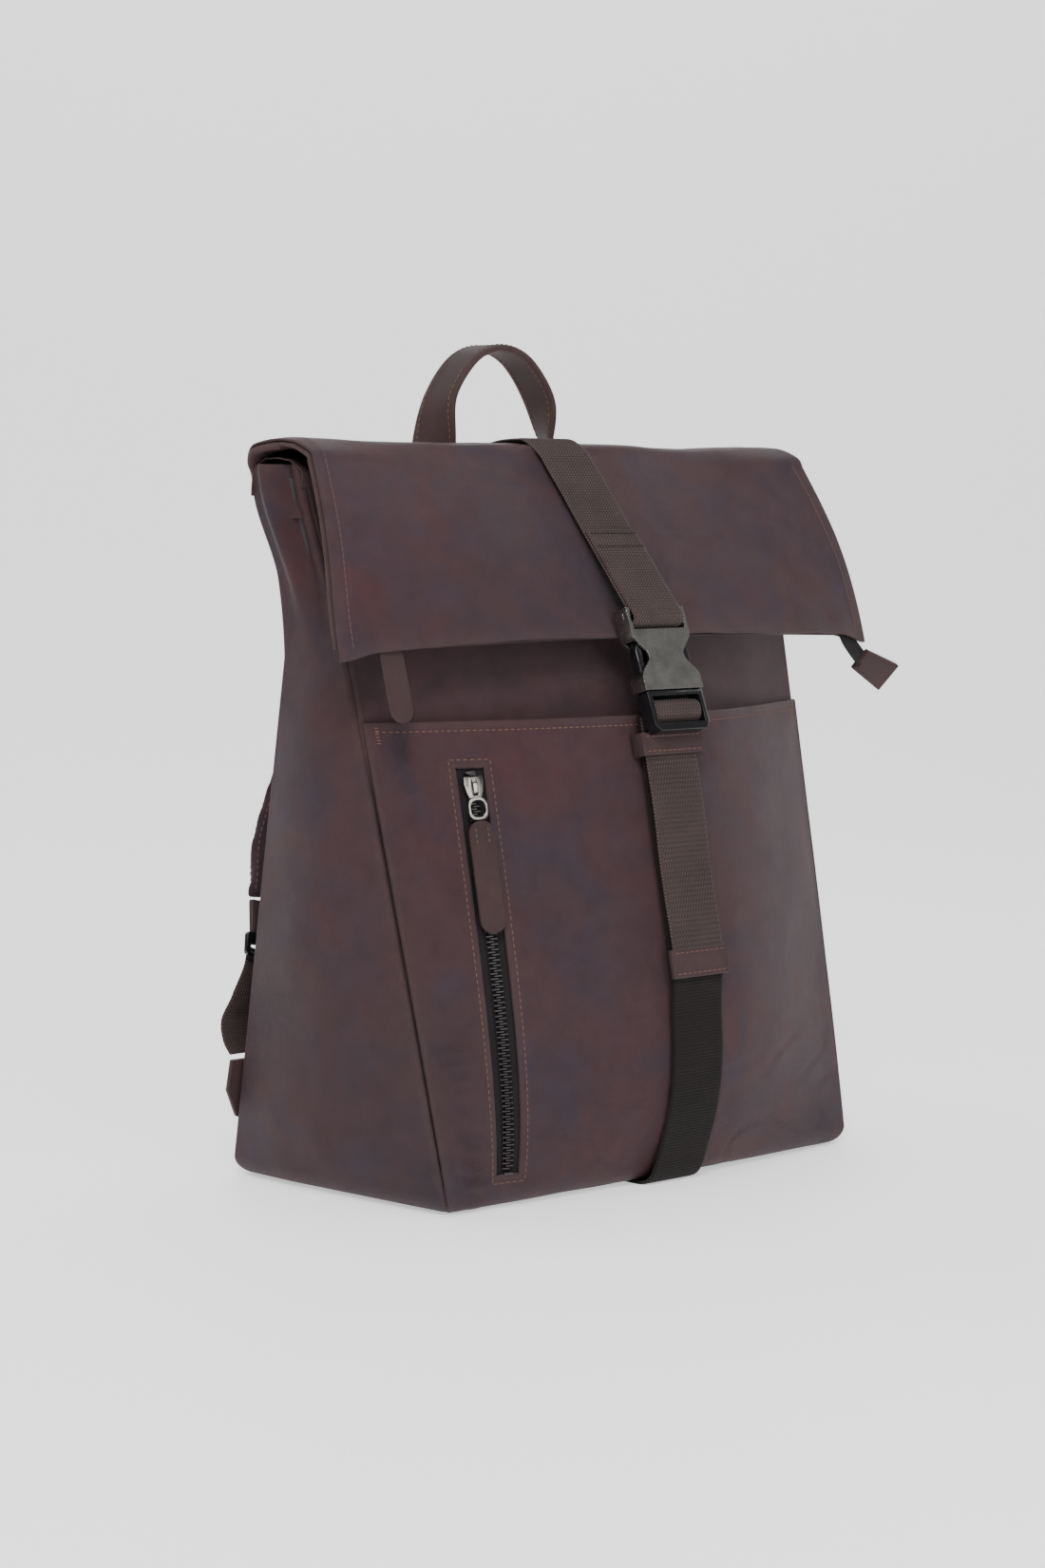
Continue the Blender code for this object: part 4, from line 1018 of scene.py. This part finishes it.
def ply_at(q, share):
    """The flap's inner ply, open round the mouth zip's puller and closed onto the edges' plies."""
    gap = math.exp(-((q * LIP_HALF_WIDTH - PULLER_X) / PULLER_HALF) ** 2)
    t = PLY_START + (PLY_REACH - PLY_NOTCH * gap) * share
    width = flap_half_width(t) - 0.0012
    x = q * width
    sag = 0.0009 * bump_at(x, 0, t, 12, 6)
    joined = ease((abs(q) - 0.945) / 0.03) * (ease((0.74 - t) / 0.1) if q > 0 else 1.0)
    point = flap_point(x, t, FLAP_INNER_DEPTH - PLY_JOIN * joined)
    return point + Vector((0, sag * (1 - joined), -corner_droop(q, (t - 0.70) / 0.3)))


EDGE_PLY = 0.050         # share of the half width that the edge's second ply takes
EDGE_SINK = 0.0021


def edge_ply_at(side):
    """The second leather ply sewn under the roll's open ends, a hair wider than the outer skin."""
    def at(u, share):
        q = side * (1 - EDGE_PLY * (1 - u))
        step = 0.002
        inner_q = side * (1 - EDGE_PLY - step)
        p, beside = roll_at(q, share), roll_at(inner_q, share)
        low, high = roll_at(q, share - step), roll_at(q, share + step)
        out = (high - low).cross(beside - p).normalized() * -side
        return p - out * EDGE_SINK + Vector((side * 0.0007 * u, 0, 0))
    return at


for side, word in SIDES:
    us = steps(1, 0, 8) if side < 0 else steps(0, 1, 8)
    piece = skin("flap_edge_" + word, us, steps(0.978, MID_SHARE, 60), edge_ply_at(side),
                 HIDE_TRIM, 0.0026)
    over_front_fold(piece)
    piece = skin("roll_edge_" + word, us, steps(MID_SHARE, 0.10, 30), edge_ply_at(side),
                 HIDE_TRIM, 0.0042)
    over_rear_fold(piece)


ply = skin("flap_ply", ROLL_US, steps(1, 0, 60), ply_at, HIDE_NECK, 0.0012)
carried(ply, "flap", "flap_inner")


def ceiling_at(q, share):
    """The neck's front skin folded back over into the roll."""
    x = q * (FOLD_HALF_WIDTH - 0.004)
    points = [Vector((x, body_face(x, 0.380) + 0.001, 0.380)), Vector((x, -0.0060, 0.3880)),
              Vector((x, 0.0040, 0.3935)), Vector((x, 0.0150, 0.3950)), Vector((x, 0.0240, 0.3940)),
              Vector((x, 0.0320, 0.3880)), Vector((x, 0.0340, 0.3760))]
    return along_line(points, share) + Vector((0, 0, 0.0008 * bump_at(x, share, 0, 20)))


ceiling = skin("fold_ply", steps(-1, 1, 70), steps(1, 0, 24), ceiling_at, HIDE_NECK, 0.0010)
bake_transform(ceiling)
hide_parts("top_fold_inner")


NECK_END_LOW, NECK_END_HIGH = 0.3640, 0.3935


def neck_end_at(side):
    """The end of the neck's mouth, folded in under the roll to close its open end."""
    def at(u, v):
        share = u if side > 0 else 1 - u
        y = -0.0050 + 0.0370 * share
        top = NECK_END_HIGH - 0.0110 * (2 * share - 1) ** 2
        z = NECK_END_LOW + (top - NECK_END_LOW) * v
        x = half_width(0.370) - 0.0020 - 0.0070 * v * v
        return Vector((side * x, y, z + 0.0008 * bump_at(share, v, 0, 3)))
    return at


for side, word in SIDES:
    piece = skin("neck_end_" + word, steps(0, 1, 16), steps(0, 1, 14), neck_end_at(side),
                 HIDE_NECK, 0.0012)
    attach(piece, "root")


# ---- the webbing closure and its buckle -----------------------------------------------------

def over_flap(t):
    """The webbing's middle line where it lies on the flap."""
    return flap_point(0, t, -0.0011 - 0.0006 - 0.0022 * ease(t))


rear_web = [Vector((0, back_face(z) + 0.0013, z)) for z in (0.358, 0.369, 0.380)]
rear_web += [Vector((0, BACK_HINGE_Y, FOLD_TOP - ROLL_R))
             + Vector((0, math.cos(a), math.sin(a))) * (ROLL_R + 0.0014)
             for a in (math.radians(d) for d in (20, 42, 66, 90))]
rear_web = [p + Vector((0, 0, top_rise(p.y))) for p in rear_web]
rear_web += [Vector((0, y, 0.4024 + top_rise(y))) for y in (0.0170, MID_Y)]
piece = webbing("webbing_over_back", rear_web)
over_rear_fold(piece)
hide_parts("closure_webbing_back", "closure_webbing_top")

ONTO_BUCKLE = on_buckle(0, 0.0060, 0.0052)
LEAVES_FLAP = 0.42


def to_buckle(t):
    """The webbing's line: on the flap, then straight down to the buckle."""
    if t < LEAVES_FLAP:
        return over_flap(t)
    return over_flap(LEAVES_FLAP).lerp(ONTO_BUCKLE, (t - LEAVES_FLAP) / (1 - LEAVES_FLAP))


front_web = [Vector((0, y, 0.4024 + top_rise(y))) for y in (MID_Y, -0.0020)]
front_web += [to_buckle(t) for t in (0.03, 0.12, 0.25, 0.42, 0.60, 0.80, 0.96)]
piece = webbing("webbing_over_flap", front_web)
over_front_fold(piece)
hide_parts("closure_webbing_front")

PLY_OUT = Vector((0, -0.0016, 0.0007))
return_web = [to_buckle(t) + PLY_OUT for t in (0.49, 0.60, 0.75, 0.90)]
return_web += [on_buckle(0, 0.0045, 0.0066), on_buckle(0, 0.0084, 0.0052),
               on_buckle(0, 0.0098, 0.0020), on_buckle(0, 0.0090, -0.0014)]
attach(webbing("webbing_loop_female", return_web, width=0.0390), "flap")

for node, finish, bevel in (("buckle_female", GUNMETAL, 0.0015), ("buckle_male", BLACK, 0.0011),
                            ("buckle_arm_left", BLACK, 0.0008), ("buckle_arm_right", BLACK, 0.0008)):
    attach(refined(node, finish, bevel, 4), body_of(node))

MALE_START = 0.0477
TAB_ROOT = Vector((0.1985, -0.0600, 0.2785))
TAB_ALONG = Vector((0.9135, 0.0, -0.4067))
TAB_LIFT = Vector((-0.0010, 0.0, 0.0032))
TAB_SHARE = 0.80         # of the frame's tab width that its leather takes
KEEPER_SHARE = 0.60      # of the frame's keeper length that its leather takes
over_bar = [(0.0045, -0.0040), (0.0052, 0.0005), (0.0075, 0.0030), (0.0102, 0.0034),
            (0.0130, 0.0030), (0.0156, 0.0005), (0.0164, -0.0036)]
loop = [on_buckle(0, MALE_START + d, c) for d, c in over_bar]
loop += [on_buckle(0, 0.0700, -0.0058), on_strap(0, -0.0020, -0.0010)]
piece = webbing("webbing_loop_male", loop, width=0.036)
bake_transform(piece)
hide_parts("buckle_webbing")

low = [on_strap(0, d, -0.0027) for d in (-0.0100, 0.030, 0.070, 0.110, 0.1330)]
low += [Vector((0, pocket_face(0, z) - 0.0016, z)) for z in (0.098, 0.075, 0.055, 0.038)]
low += [Vector((0, y, z)) for y, z in ((-0.1070, 0.0180), (-0.1015, 0.0055), (-0.0940, 0.0009),
                                       (-0.0800, 0.0009), (-0.0500, 0.0009), (-0.0190, 0.0009))]
# The lower webbing takes the darker webbing copy: painted shade.
piece = webbing("webbing_under_bag", low, WEB_PAINTED_SHADE, rise=0.00018)
carried(piece, "root", "lower_webbing")

tail = [on_strap(0, d, -0.0006 + 0.0010 * math.sin(d * 40) ** 2)
        for d in (-0.0090, 0.0200, 0.0345, 0.0500, 0.0700, 0.0900, 0.1050, 0.1200)]
piece = webbing("webbing_tail_look", tail, pitch=0.0027, rise=0.00048)
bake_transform(piece)
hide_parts("webbing_tail", "webbing_tail_held")

keeper = refined("strap_keeper", HIDE_TRIM, 0.0007, 4)
for vert in keeper.data.vertices:
    vert.co -= STRAP_DROP * (vert.co - STRAP_REF).dot(STRAP_DROP) * (1 - KEEPER_SHARE)
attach(keeper, "keeper")

tab = refined("mouth_zip_end_tab", HIDE_TRIM, 0.0007, 4)
for vert in tab.data.vertices:
    away = vert.co - TAB_ROOT
    vert.co -= (away - TAB_ALONG * away.dot(TAB_ALONG)) * (1 - TAB_SHARE) - TAB_LIFT
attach(tab, "flap")

for node in ("webbing_tail_tip", "mouth_puller", "front_puller", "back_yoke"):
    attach(refined(node, HIDE_TRIM, 0.0007, 4), body_of(node))


# ---- zips -----------------------------------------------------------------------------------

for node in ("front_zip_slider", "front_pull_ring", "mouth_zip_slider", "mouth_pull_ring"):
    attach(refined(node, ZIP_METAL, 0.00035, 3), body_of(node))
for node in ("front_zip_stop_bottom", "front_zip_stop_top"):
    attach(refined(node, TEETH, 0.00035, 3), body_of(node))


def tooth(build, centre, across_dir, down_dir, out_dir, size):
    """One moulded tooth: a block with a rounded crown."""
    a, b, c = (v * s for v, s in zip((across_dir, down_dir, out_dir), size))
    low_ring = [centre + a * x + b * y for x, y in ((-1, -1), (1, -1), (1, 1), (-1, 1))]
    mid_ring = [p + c for p in low_ring]
    top_ring = [centre + a * x + b * y + c * 1.5
                for x, y in ((-.75, -.6), (.75, -.6), (.75, .6), (-.75, .6))]
    rings = [[build.verts.new(p) for p in ring] for ring in (low_ring, mid_ring, top_ring)]
    join_rings(build, rings)
    build.faces.new(rings[-1])
    build.faces.new(list(reversed(rings[0])))


def teeth_row(name, places, finish, size):
    """Teeth at (centre, across, down, out), left and right by turns."""
    build = bmesh.new()
    for k, (centre, side, down, out) in enumerate(places):
        shift = side * (size[0] * 0.45) * (1 if k % 2 else -1)
        tooth(build, centre + shift, side, down, out, size)
    bmesh.ops.recalc_face_normals(build, faces=build.faces)
    return finish_piece(name, build, finish, 40)


ZIP_SINK = 0.0011


def zip_place(z, sink=ZIP_SINK):
    """(point, across, down, out) on the front zip at a height."""
    point = Vector((ZIP_X, pocket_face(ZIP_X, z), z))
    side = (Vector((ZIP_X + 0.004, pocket_face(ZIP_X + 0.004, z), z)) - point).normalized()
    down = (Vector((ZIP_X, pocket_face(ZIP_X, z - 0.004), z - 0.004)) - point).normalized()
    side = (side - down * side.dot(down)).normalized()
    out = down.cross(side)
    if out.y > 0:
        out = -out
    return point - out * sink, side, down, out


def tape_at(side):
    """One side's zip tape as a surface of (u, height)."""
    def at(u, z):
        point, across_dir, _, _ = zip_place(z, 0.0022)
        return point + across_dir * side * (0.0002 + u * 0.0115)
    return at


ZIP_ZS = steps(ZIP_SLOT_BOTTOM - 0.004, ZIP_SLOT_TOP + 0.004, 80)
for side, word in SIDES:
    order = steps(1, 0, 8) if side < 0 else steps(0, 1, 8)
    piece = skin("zip_tape_look_" + word, order, ZIP_ZS, tape_at(side), TAPE, 0.0006)
    carried(piece, "root", "front_zip_tape_" + word)

rows = [zip_place(z, 0.0018) for z in steps(ZIP_SLOT_BOTTOM + 0.004, ZIP_SLOT_TOP - 0.003, 150)]
piece = teeth_row("zip_teeth_look", rows, TEETH, (0.0024, 0.00050, 0.0012))
carried(piece, "root", "front_zip_teeth_left", "front_zip_teeth_right")


def on_lip(x, z, depth):
    """A point under the flap's lip at a height."""
    lip = LIP_HEIGHT + LIP_RISE * max(0.0, 1 - (x / LIP_HALF_WIDTH) ** 2)
    return flap_point(x, (FOLD_TOP - z) / (FOLD_TOP - lip), depth)


piece = skin("mouth_tape_look", steps(-0.184, 0.184, 90), steps(0.3150, 0.3228, 5),
             lambda x, z: on_lip(x, z, 0.0036), TAPE, 0.0006)
carried(piece, "flap", "mouth_zip_tape")
rows = []
for x in steps(-0.1835, 0.1835, 240):
    point = on_lip(x, 0.3150, 0.0040)
    side = (on_lip(x + 0.002, 0.3150, 0.0040) - point).normalized()
    down = (on_lip(x, 0.3100, 0.0040) - point).normalized()
    rows.append((point, down, side, down.cross(side)))
piece = teeth_row("mouth_teeth_look", rows, TEETH, (0.0012, 0.00050, 0.0008))
carried(piece, "flap", "mouth_zip_teeth")

tape_end = [on_lip(0.1910, 0.3165, 0.0043), on_lip(0.1900, 0.3040, 0.0043),
            on_lip(0.1905, 0.2955, 0.0048), TAB_ROOT + TAB_LIFT + TAB_ALONG * 0.0060]
piece = webbing("mouth_tape_end_look", tape_end, TAPE, 0.0112, 0.0014, 0.0009, 0.00008)
carried(piece, "flap", "mouth_zip_tape_end")


# ---- handle and shoulder straps -------------------------------------------------------------

def oval_section(half, thick, roundness=0.5, count=26):
    """A closed flat section with rounded sides; half(share) is its half width."""
    def at(s, share):
        out = []
        for k in range(count * 2):
            a = math.pi * k / count
            c, s_ = math.cos(a), math.sin(a)
            x = math.copysign(abs(c) ** roundness, c) * half(share)
            y = math.copysign(abs(s_) ** roundness, s_) * thick(share) / 2
            out.append((x, y))
        return out
    return at


HANDLE_FOOT_Z, HANDLE_TURN = 0.363, 0.075    # the handle twists from flat to level over this height
HANDLE_HALF, HANDLE_THICK = 0.0125, 0.0040
half_handle = [(-0.044, 0.0405, 0.363), (-0.0455, 0.0438, 0.385), (-0.0435, 0.0455, 0.410),
               (-0.0380, 0.0460, 0.433), (-0.0205, 0.0460, 0.4535)]
handle_route = [Vector(p) for p in half_handle] + [Vector((0, 0.046, HANDLE_TOP))]
handle_route += [Vector((-x, y, z)) for x, y, z in reversed(half_handle)]
handle_path = curve_through(handle_route, 0.0018)


def handle_side(share):
    """The handle's width direction: flat on the back at its feet, sideways on top."""
    z = handle_path[round(share * (len(handle_path) - 1))].z
    a = math.pi / 2 * ease((z - HANDLE_FOOT_Z) / HANDLE_TURN)
    return Vector((-math.cos(a) if share < 0.5 else math.cos(a), math.sin(a), 0))


piece = band("handle_look", handle_path, handle_side,
             oval_section(lambda share: HANDLE_HALF, lambda share: HANDLE_THICK, 0.35), HIDE_TRIM, 70.0)
carried(piece, "handle", "top_handle")


CLOTH_FRAMES = 20


def stuffed(obj, voxel=0.005, pressure=4.0, cap=0.006):
    """Fills a closed cloth shape: a cloth simulation puffs it up, held within cap of its cut."""
    scene = bpy.context.scene
    remesh = obj.modifiers.new("remesh", "REMESH")
    remesh.mode, remesh.voxel_size = "VOXEL", voxel
    settle(obj)
    before = [v.co.copy() for v in obj.data.vertices]
    puff = obj.modifiers.new("cloth", "CLOTH")
    puff.settings.quality = 6
    puff.settings.mass = 0.3
    puff.settings.tension_stiffness = puff.settings.compression_stiffness = 25
    puff.settings.shear_stiffness = 10
    puff.settings.bending_stiffness = 0.6
    puff.settings.use_pressure = True
    puff.settings.uniform_pressure_force = pressure
    puff.settings.effector_weights.gravity = 0
    puff.point_cache.frame_start, puff.point_cache.frame_end = 1, CLOTH_FRAMES
    for number in range(1, CLOTH_FRAMES + 1):
        scene.frame_set(number)
        bpy.context.view_layer.update()
    settle(obj)
    for vert, start in zip(obj.data.vertices, before):
        moved = vert.co - start
        if moved.length > cap:
            vert.co = start + moved.normalized() * cap
    scene.frame_set(1)
    fine = obj.modifiers.new("fine", "SUBSURF")
    fine.levels = 1
    settle(obj)
    obj.data.shade_smooth()
    return obj


PAD_ROUTE = [(-0.050, 0.039, 0.309), (-0.057, 0.046, 0.293), (-0.079, 0.066, 0.264),
             (-0.104, 0.082, 0.233), (-0.124, 0.086, 0.190), (-0.134, 0.080, 0.150)]
TAIL_ROUTE = [(-0.1385, 0.0800, 0.1215), (-0.1425, 0.0800, 0.1120), (-0.1475, 0.0835, 0.0985),
              (-0.150, 0.089, 0.086), (-0.150, 0.0875, 0.075), (-0.150, 0.082, 0.068)]


def mirrored_route(points, side):
    """A left strap's route, or the right one's for side 1."""
    return [Vector((-side * x, y, z)) for x, y, z in points]


for side, word in SIDES:
    path = curve_through(mirrored_route(PAD_ROUTE, side), 0.0025)
    pad_side = Vector((0.9, 0, side * 0.4))
    piece = band("shoulder_pad_" + word, path, lambda share: pad_side,
                 oval_section(lambda share: 0.023 - 0.005 * share, lambda share: 0.0075, 0.5), HIDE, 70)
    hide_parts(f"strap_pad_{word}")
    stuffed(piece)
    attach(piece, f"strap_{word}")
    rows = Thread("stitches_pad_" + word)
    frames = strap_frames(path, lambda share: pad_side)
    last = len(path) - 1
    for edge in (-1, 1):
        line = [point + across_pad * edge * (0.0185 - 0.0045 * i / last)
                for i, (point, (across_pad, _)) in enumerate(zip(path, frames)) if 2 < i < last - 1]
        for toward in (Vector((0, -1, 0)), Vector((0, 1, 0))):
            rows.row(laid_on(piece, line, toward))
    rows.done(f"strap_{word}")
    piece = webbing("shoulder_web_" + word, mirrored_route(TAIL_ROUTE, side), WEB, 0.030)
    carried(piece, f"strap_{word}", f"strap_webbing_{word}")
    for node, finish in ((f"strap_tab_{word}", HIDE_TRIM), (f"strap_adjuster_{word}", BLACK),
                         (f"strap_anchor_{word}", HIDE_TRIM)):
        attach(refined(node, finish, 0.0006, 3), body_of(node))


# ---- stitches -------------------------------------------------------------------------------

def pocket_stitches():
    rows = Thread("stitches_pocket")
    hem_qs = stops((-0.985, -0.6, 30), (-0.6, -0.5, 8), (-0.5, 0.985, 90))
    hem = [(q, POCKET_TOP - 0.0042) for q in hem_qs]
    rows.row(on_surface(pocket_at, hem))
    for tack in (-0.97, 0.955):
        for drop in steps(0.002, 0.010, 5):
            across_tack = [(tack + d, POCKET_TOP - drop) for d in (-0.016, 0.016)]
            rows.row(on_surface(pocket_at, across_tack), 0.0024)
    low, high = ZIP_SLOT_BOTTOM - 0.0035, ZIP_SLOT_TOP + 0.0035
    for q in (-0.629, -0.4845):
        rows.row(on_surface(pocket_at, [(q, z) for z in steps(low, high, 60)]))
    for z in (low, high):
        rows.row(on_surface(pocket_at, [(q, z) for q in steps(-0.629, -0.4845, 6)]))
    return rows.done("root")


def roll_stitches():
    rear, front = Thread("stitches_roll_rear"), Thread("stitches_flap")
    for q in (-0.962, 0.962):
        front.row(on_surface(roll_at, [(q, s) for s in steps(0.985, MID_SHARE + 0.06, 50)]))
        rear.row(on_surface(roll_at, [(q, s) for s in steps(MID_SHARE - 0.02, 0.03, 20)]))
    done = front.done()
    over_front_fold(done)
    done = rear.done()
    over_rear_fold(done)


def webbing_stitches():
    front = Thread("stitches_webbing", 0.00045, THREAD_DARK)
    for t in (0.510, 0.590):
        line = [(to_buckle(t) + PLY_OUT * 1.66 + Vector((x, 0, 0)), PLY_OUT.normalized())
                for x in steps(-0.0180, 0.0180, 6)]
        front.row(line, 0.0024)
    front.done("flap")
    tip = Thread("stitches_tail_tip")
    for d in (0.1205, 0.1318):
        tip.row([(on_strap(x, d, 0.0013), STRAP_OUT) for x in steps(-0.0195, 0.0195, 6)])
    tip.done("webbing_tail")
    keeper = Thread("stitches_keeper")
    for d in (0.0020, 0.0102):
        keeper.row([(on_strap(x, d, 0.0033), STRAP_OUT) for x in steps(-0.0215, 0.0215, 6)])
    keeper.done("keeper")


def handle_stitches():
    rows = Thread("stitches_handle")
    frames = strap_frames(handle_path, handle_side)
    for a in (-0.0096, 0.0096):
        for up_side in (1, -1):
            rows.row([(p + s * a + u * up_side * 0.0019, u * up_side)
                      for p, (s, u) in zip(handle_path, frames)])
    rows.done("handle")


def back_stitches():
    rows = Thread("stitches_back")
    for side in (-1, 1):
        inner, outer = side * (PAD_COLUMN - PAD_HALF), side * (PAD_COLUMN + PAD_HALF)
        lines = [[(x, z) for z in steps(PAD_LOW, PAD_HIGH, 60)] for x in (inner, outer)]
        lines += [[(x, z) for x in steps(inner, outer, 30)] for z in (PAD_LOW, PAD_HIGH, *QUILT_ROWS)]
        for line in lines:
            places = [Vector((x, 0.09, z)) for x, z in line]
            rows.row(laid_on(back, places, Vector((0, -1, 0))), 0.0042)
    rows.done("root")
    yoke = Thread("stitches_yoke")
    low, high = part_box("back_yoke")
    inset = 0.0040
    corners = [(low.x + inset, low.z + inset), (high.x - inset, low.z + inset),
               (high.x - inset, high.z - inset), (low.x + inset, high.z - inset)]
    for (xa, za), (xb, zb) in zip(corners, corners[1:] + corners[:1]):
        places = [Vector((xa + (xb - xa) * t, 0.06, za + (zb - za) * t)) for t in steps(0, 1, 24)]
        yoke.row(laid_on(REFINED["back_yoke"], places, Vector((0, -1, 0))))
    yoke.done("root")


def puller_stitches():
    rows = Thread("stitches_puller", 0.00032)
    level = Vector((0.92524, -0.37228, 0.07307))
    down = Vector((0, -0.1926, -0.98128))
    out = Vector((-0.37938, -0.90792, 0.1782))
    top = Vector((-0.12121, -0.07142, 0.21731))
    for a in (-0.0034, 0.0034):
        for b in (0.0175, 0.0205, 0.0235):
            ends = [top + level * a + down * (b + step) for step in (-0.0009, 0.0009)]
            hits = laid_on(REFINED["front_puller"], ends, -out)
            if len(hits) == 2:
                rows.stitch(hits[0][0], hits[1][0], hits[0][1])
    rows.done("front_puller")


pocket_stitches()
back_stitches()
puller_stitches()
roll_stitches()
webbing_stitches()
handle_stitches()


# ---- floor, light and camera ----------------------------------------------------------------

FLOOR_FRONT, FLOOR_BACK, FLOOR_HALF = -18.0, 1.6, 3.5     # of the flat part, seen from the camera
SWEEP, SWEEP_TOP = 1.2, 4.0                               # the curve up behind and the wall's height
FLOOR_TURNED = math.radians(-44)


def stage_floor():
    """A pale floor that sweeps up behind the bag."""
    n = Nodes("floor")
    where = n.place()
    n.feed(Base_Color=n.mix(n.noise(where, 3.0, 3.0), (0.93, 0.93, 0.93), (0.95, 0.95, 0.95)),
           Roughness=n.span(n.noise(where, 40.0, 3.0), 0.55, 0.65),
           Emission_Color=(1, 1, 1), Emission_Strength=0.65)
    build = bmesh.new()
    path = [(FLOOR_FRONT, 0.0), (FLOOR_BACK, 0.0)]
    path += [(FLOOR_BACK + SWEEP * math.sin(a), SWEEP - SWEEP * math.cos(a))
             for a in steps(0.1, math.pi / 2, 14)]
    path.append((FLOOR_BACK + SWEEP, SWEEP_TOP))
    turn = Matrix.Rotation(FLOOR_TURNED, 4, "Z")
    lines = [[build.verts.new(turn @ Vector((x, y, z))) for y, z in path]
             for x in (-FLOOR_HALF, FLOOR_HALF)]
    for i in range(len(path) - 1):
        build.faces.new([lines[0][i], lines[1][i], lines[1][i + 1], lines[0][i + 1]])
    mesh = bpy.data.meshes.new("floor")
    build.to_mesh(mesh)
    build.free()
    mesh.materials.append(n.mat)
    mesh.shade_smooth()
    put_in_scene("floor", mesh)


def aimed(obj, place, target):
    """Puts a light or a camera at a place, looking at the target."""
    obj.location = place
    obj.rotation_euler = (Vector(target) - obj.location).to_track_quat("-Z", "Y").to_euler()


def soft_light(name, place, size, watts):
    lamp = bpy.data.lights.new(name, "AREA")
    lamp.shape, lamp.size, lamp.energy = "SQUARE", size, watts
    aimed(put_in_scene(name, lamp), place, BAG_CENTRE)


BAG_CENTRE = (0, -0.02, 0.22)
CAMERA_AT = (-1.395, -1.425, 0.367)
LOOK_AT = (-0.0097, 0.0094, 0.2137)
LENS_MM, SENSOR_MM = 81.2, 36.0
WORLD_STRENGTH = 0.28

stage_floor()
soft_light("key", (-1.7, -1.7, 2.2), 1.0, 70)
soft_light("front", (-0.6, -2.7, 1.0), 1.6, 30)
soft_light("top", (0.0, 0.2, 2.4), 1.6, 24)
soft_light("rear", (-0.6, 2.3, 1.7), 1.2, 15)

world = bpy.data.worlds.new("studio")
bpy.context.scene.world = world
world.use_nodes = True
sky = world.node_tree.nodes["Background"]
sky.inputs["Color"].default_value = (1, 1, 1, 1)
sky.inputs["Strength"].default_value = WORLD_STRENGTH

lens = bpy.data.cameras.new("camera")
lens.lens, lens.sensor_width = LENS_MM, SENSOR_MM
camera = put_in_scene("camera", lens)
aimed(camera, CAMERA_AT, LOOK_AT)
bpy.context.scene.camera = camera
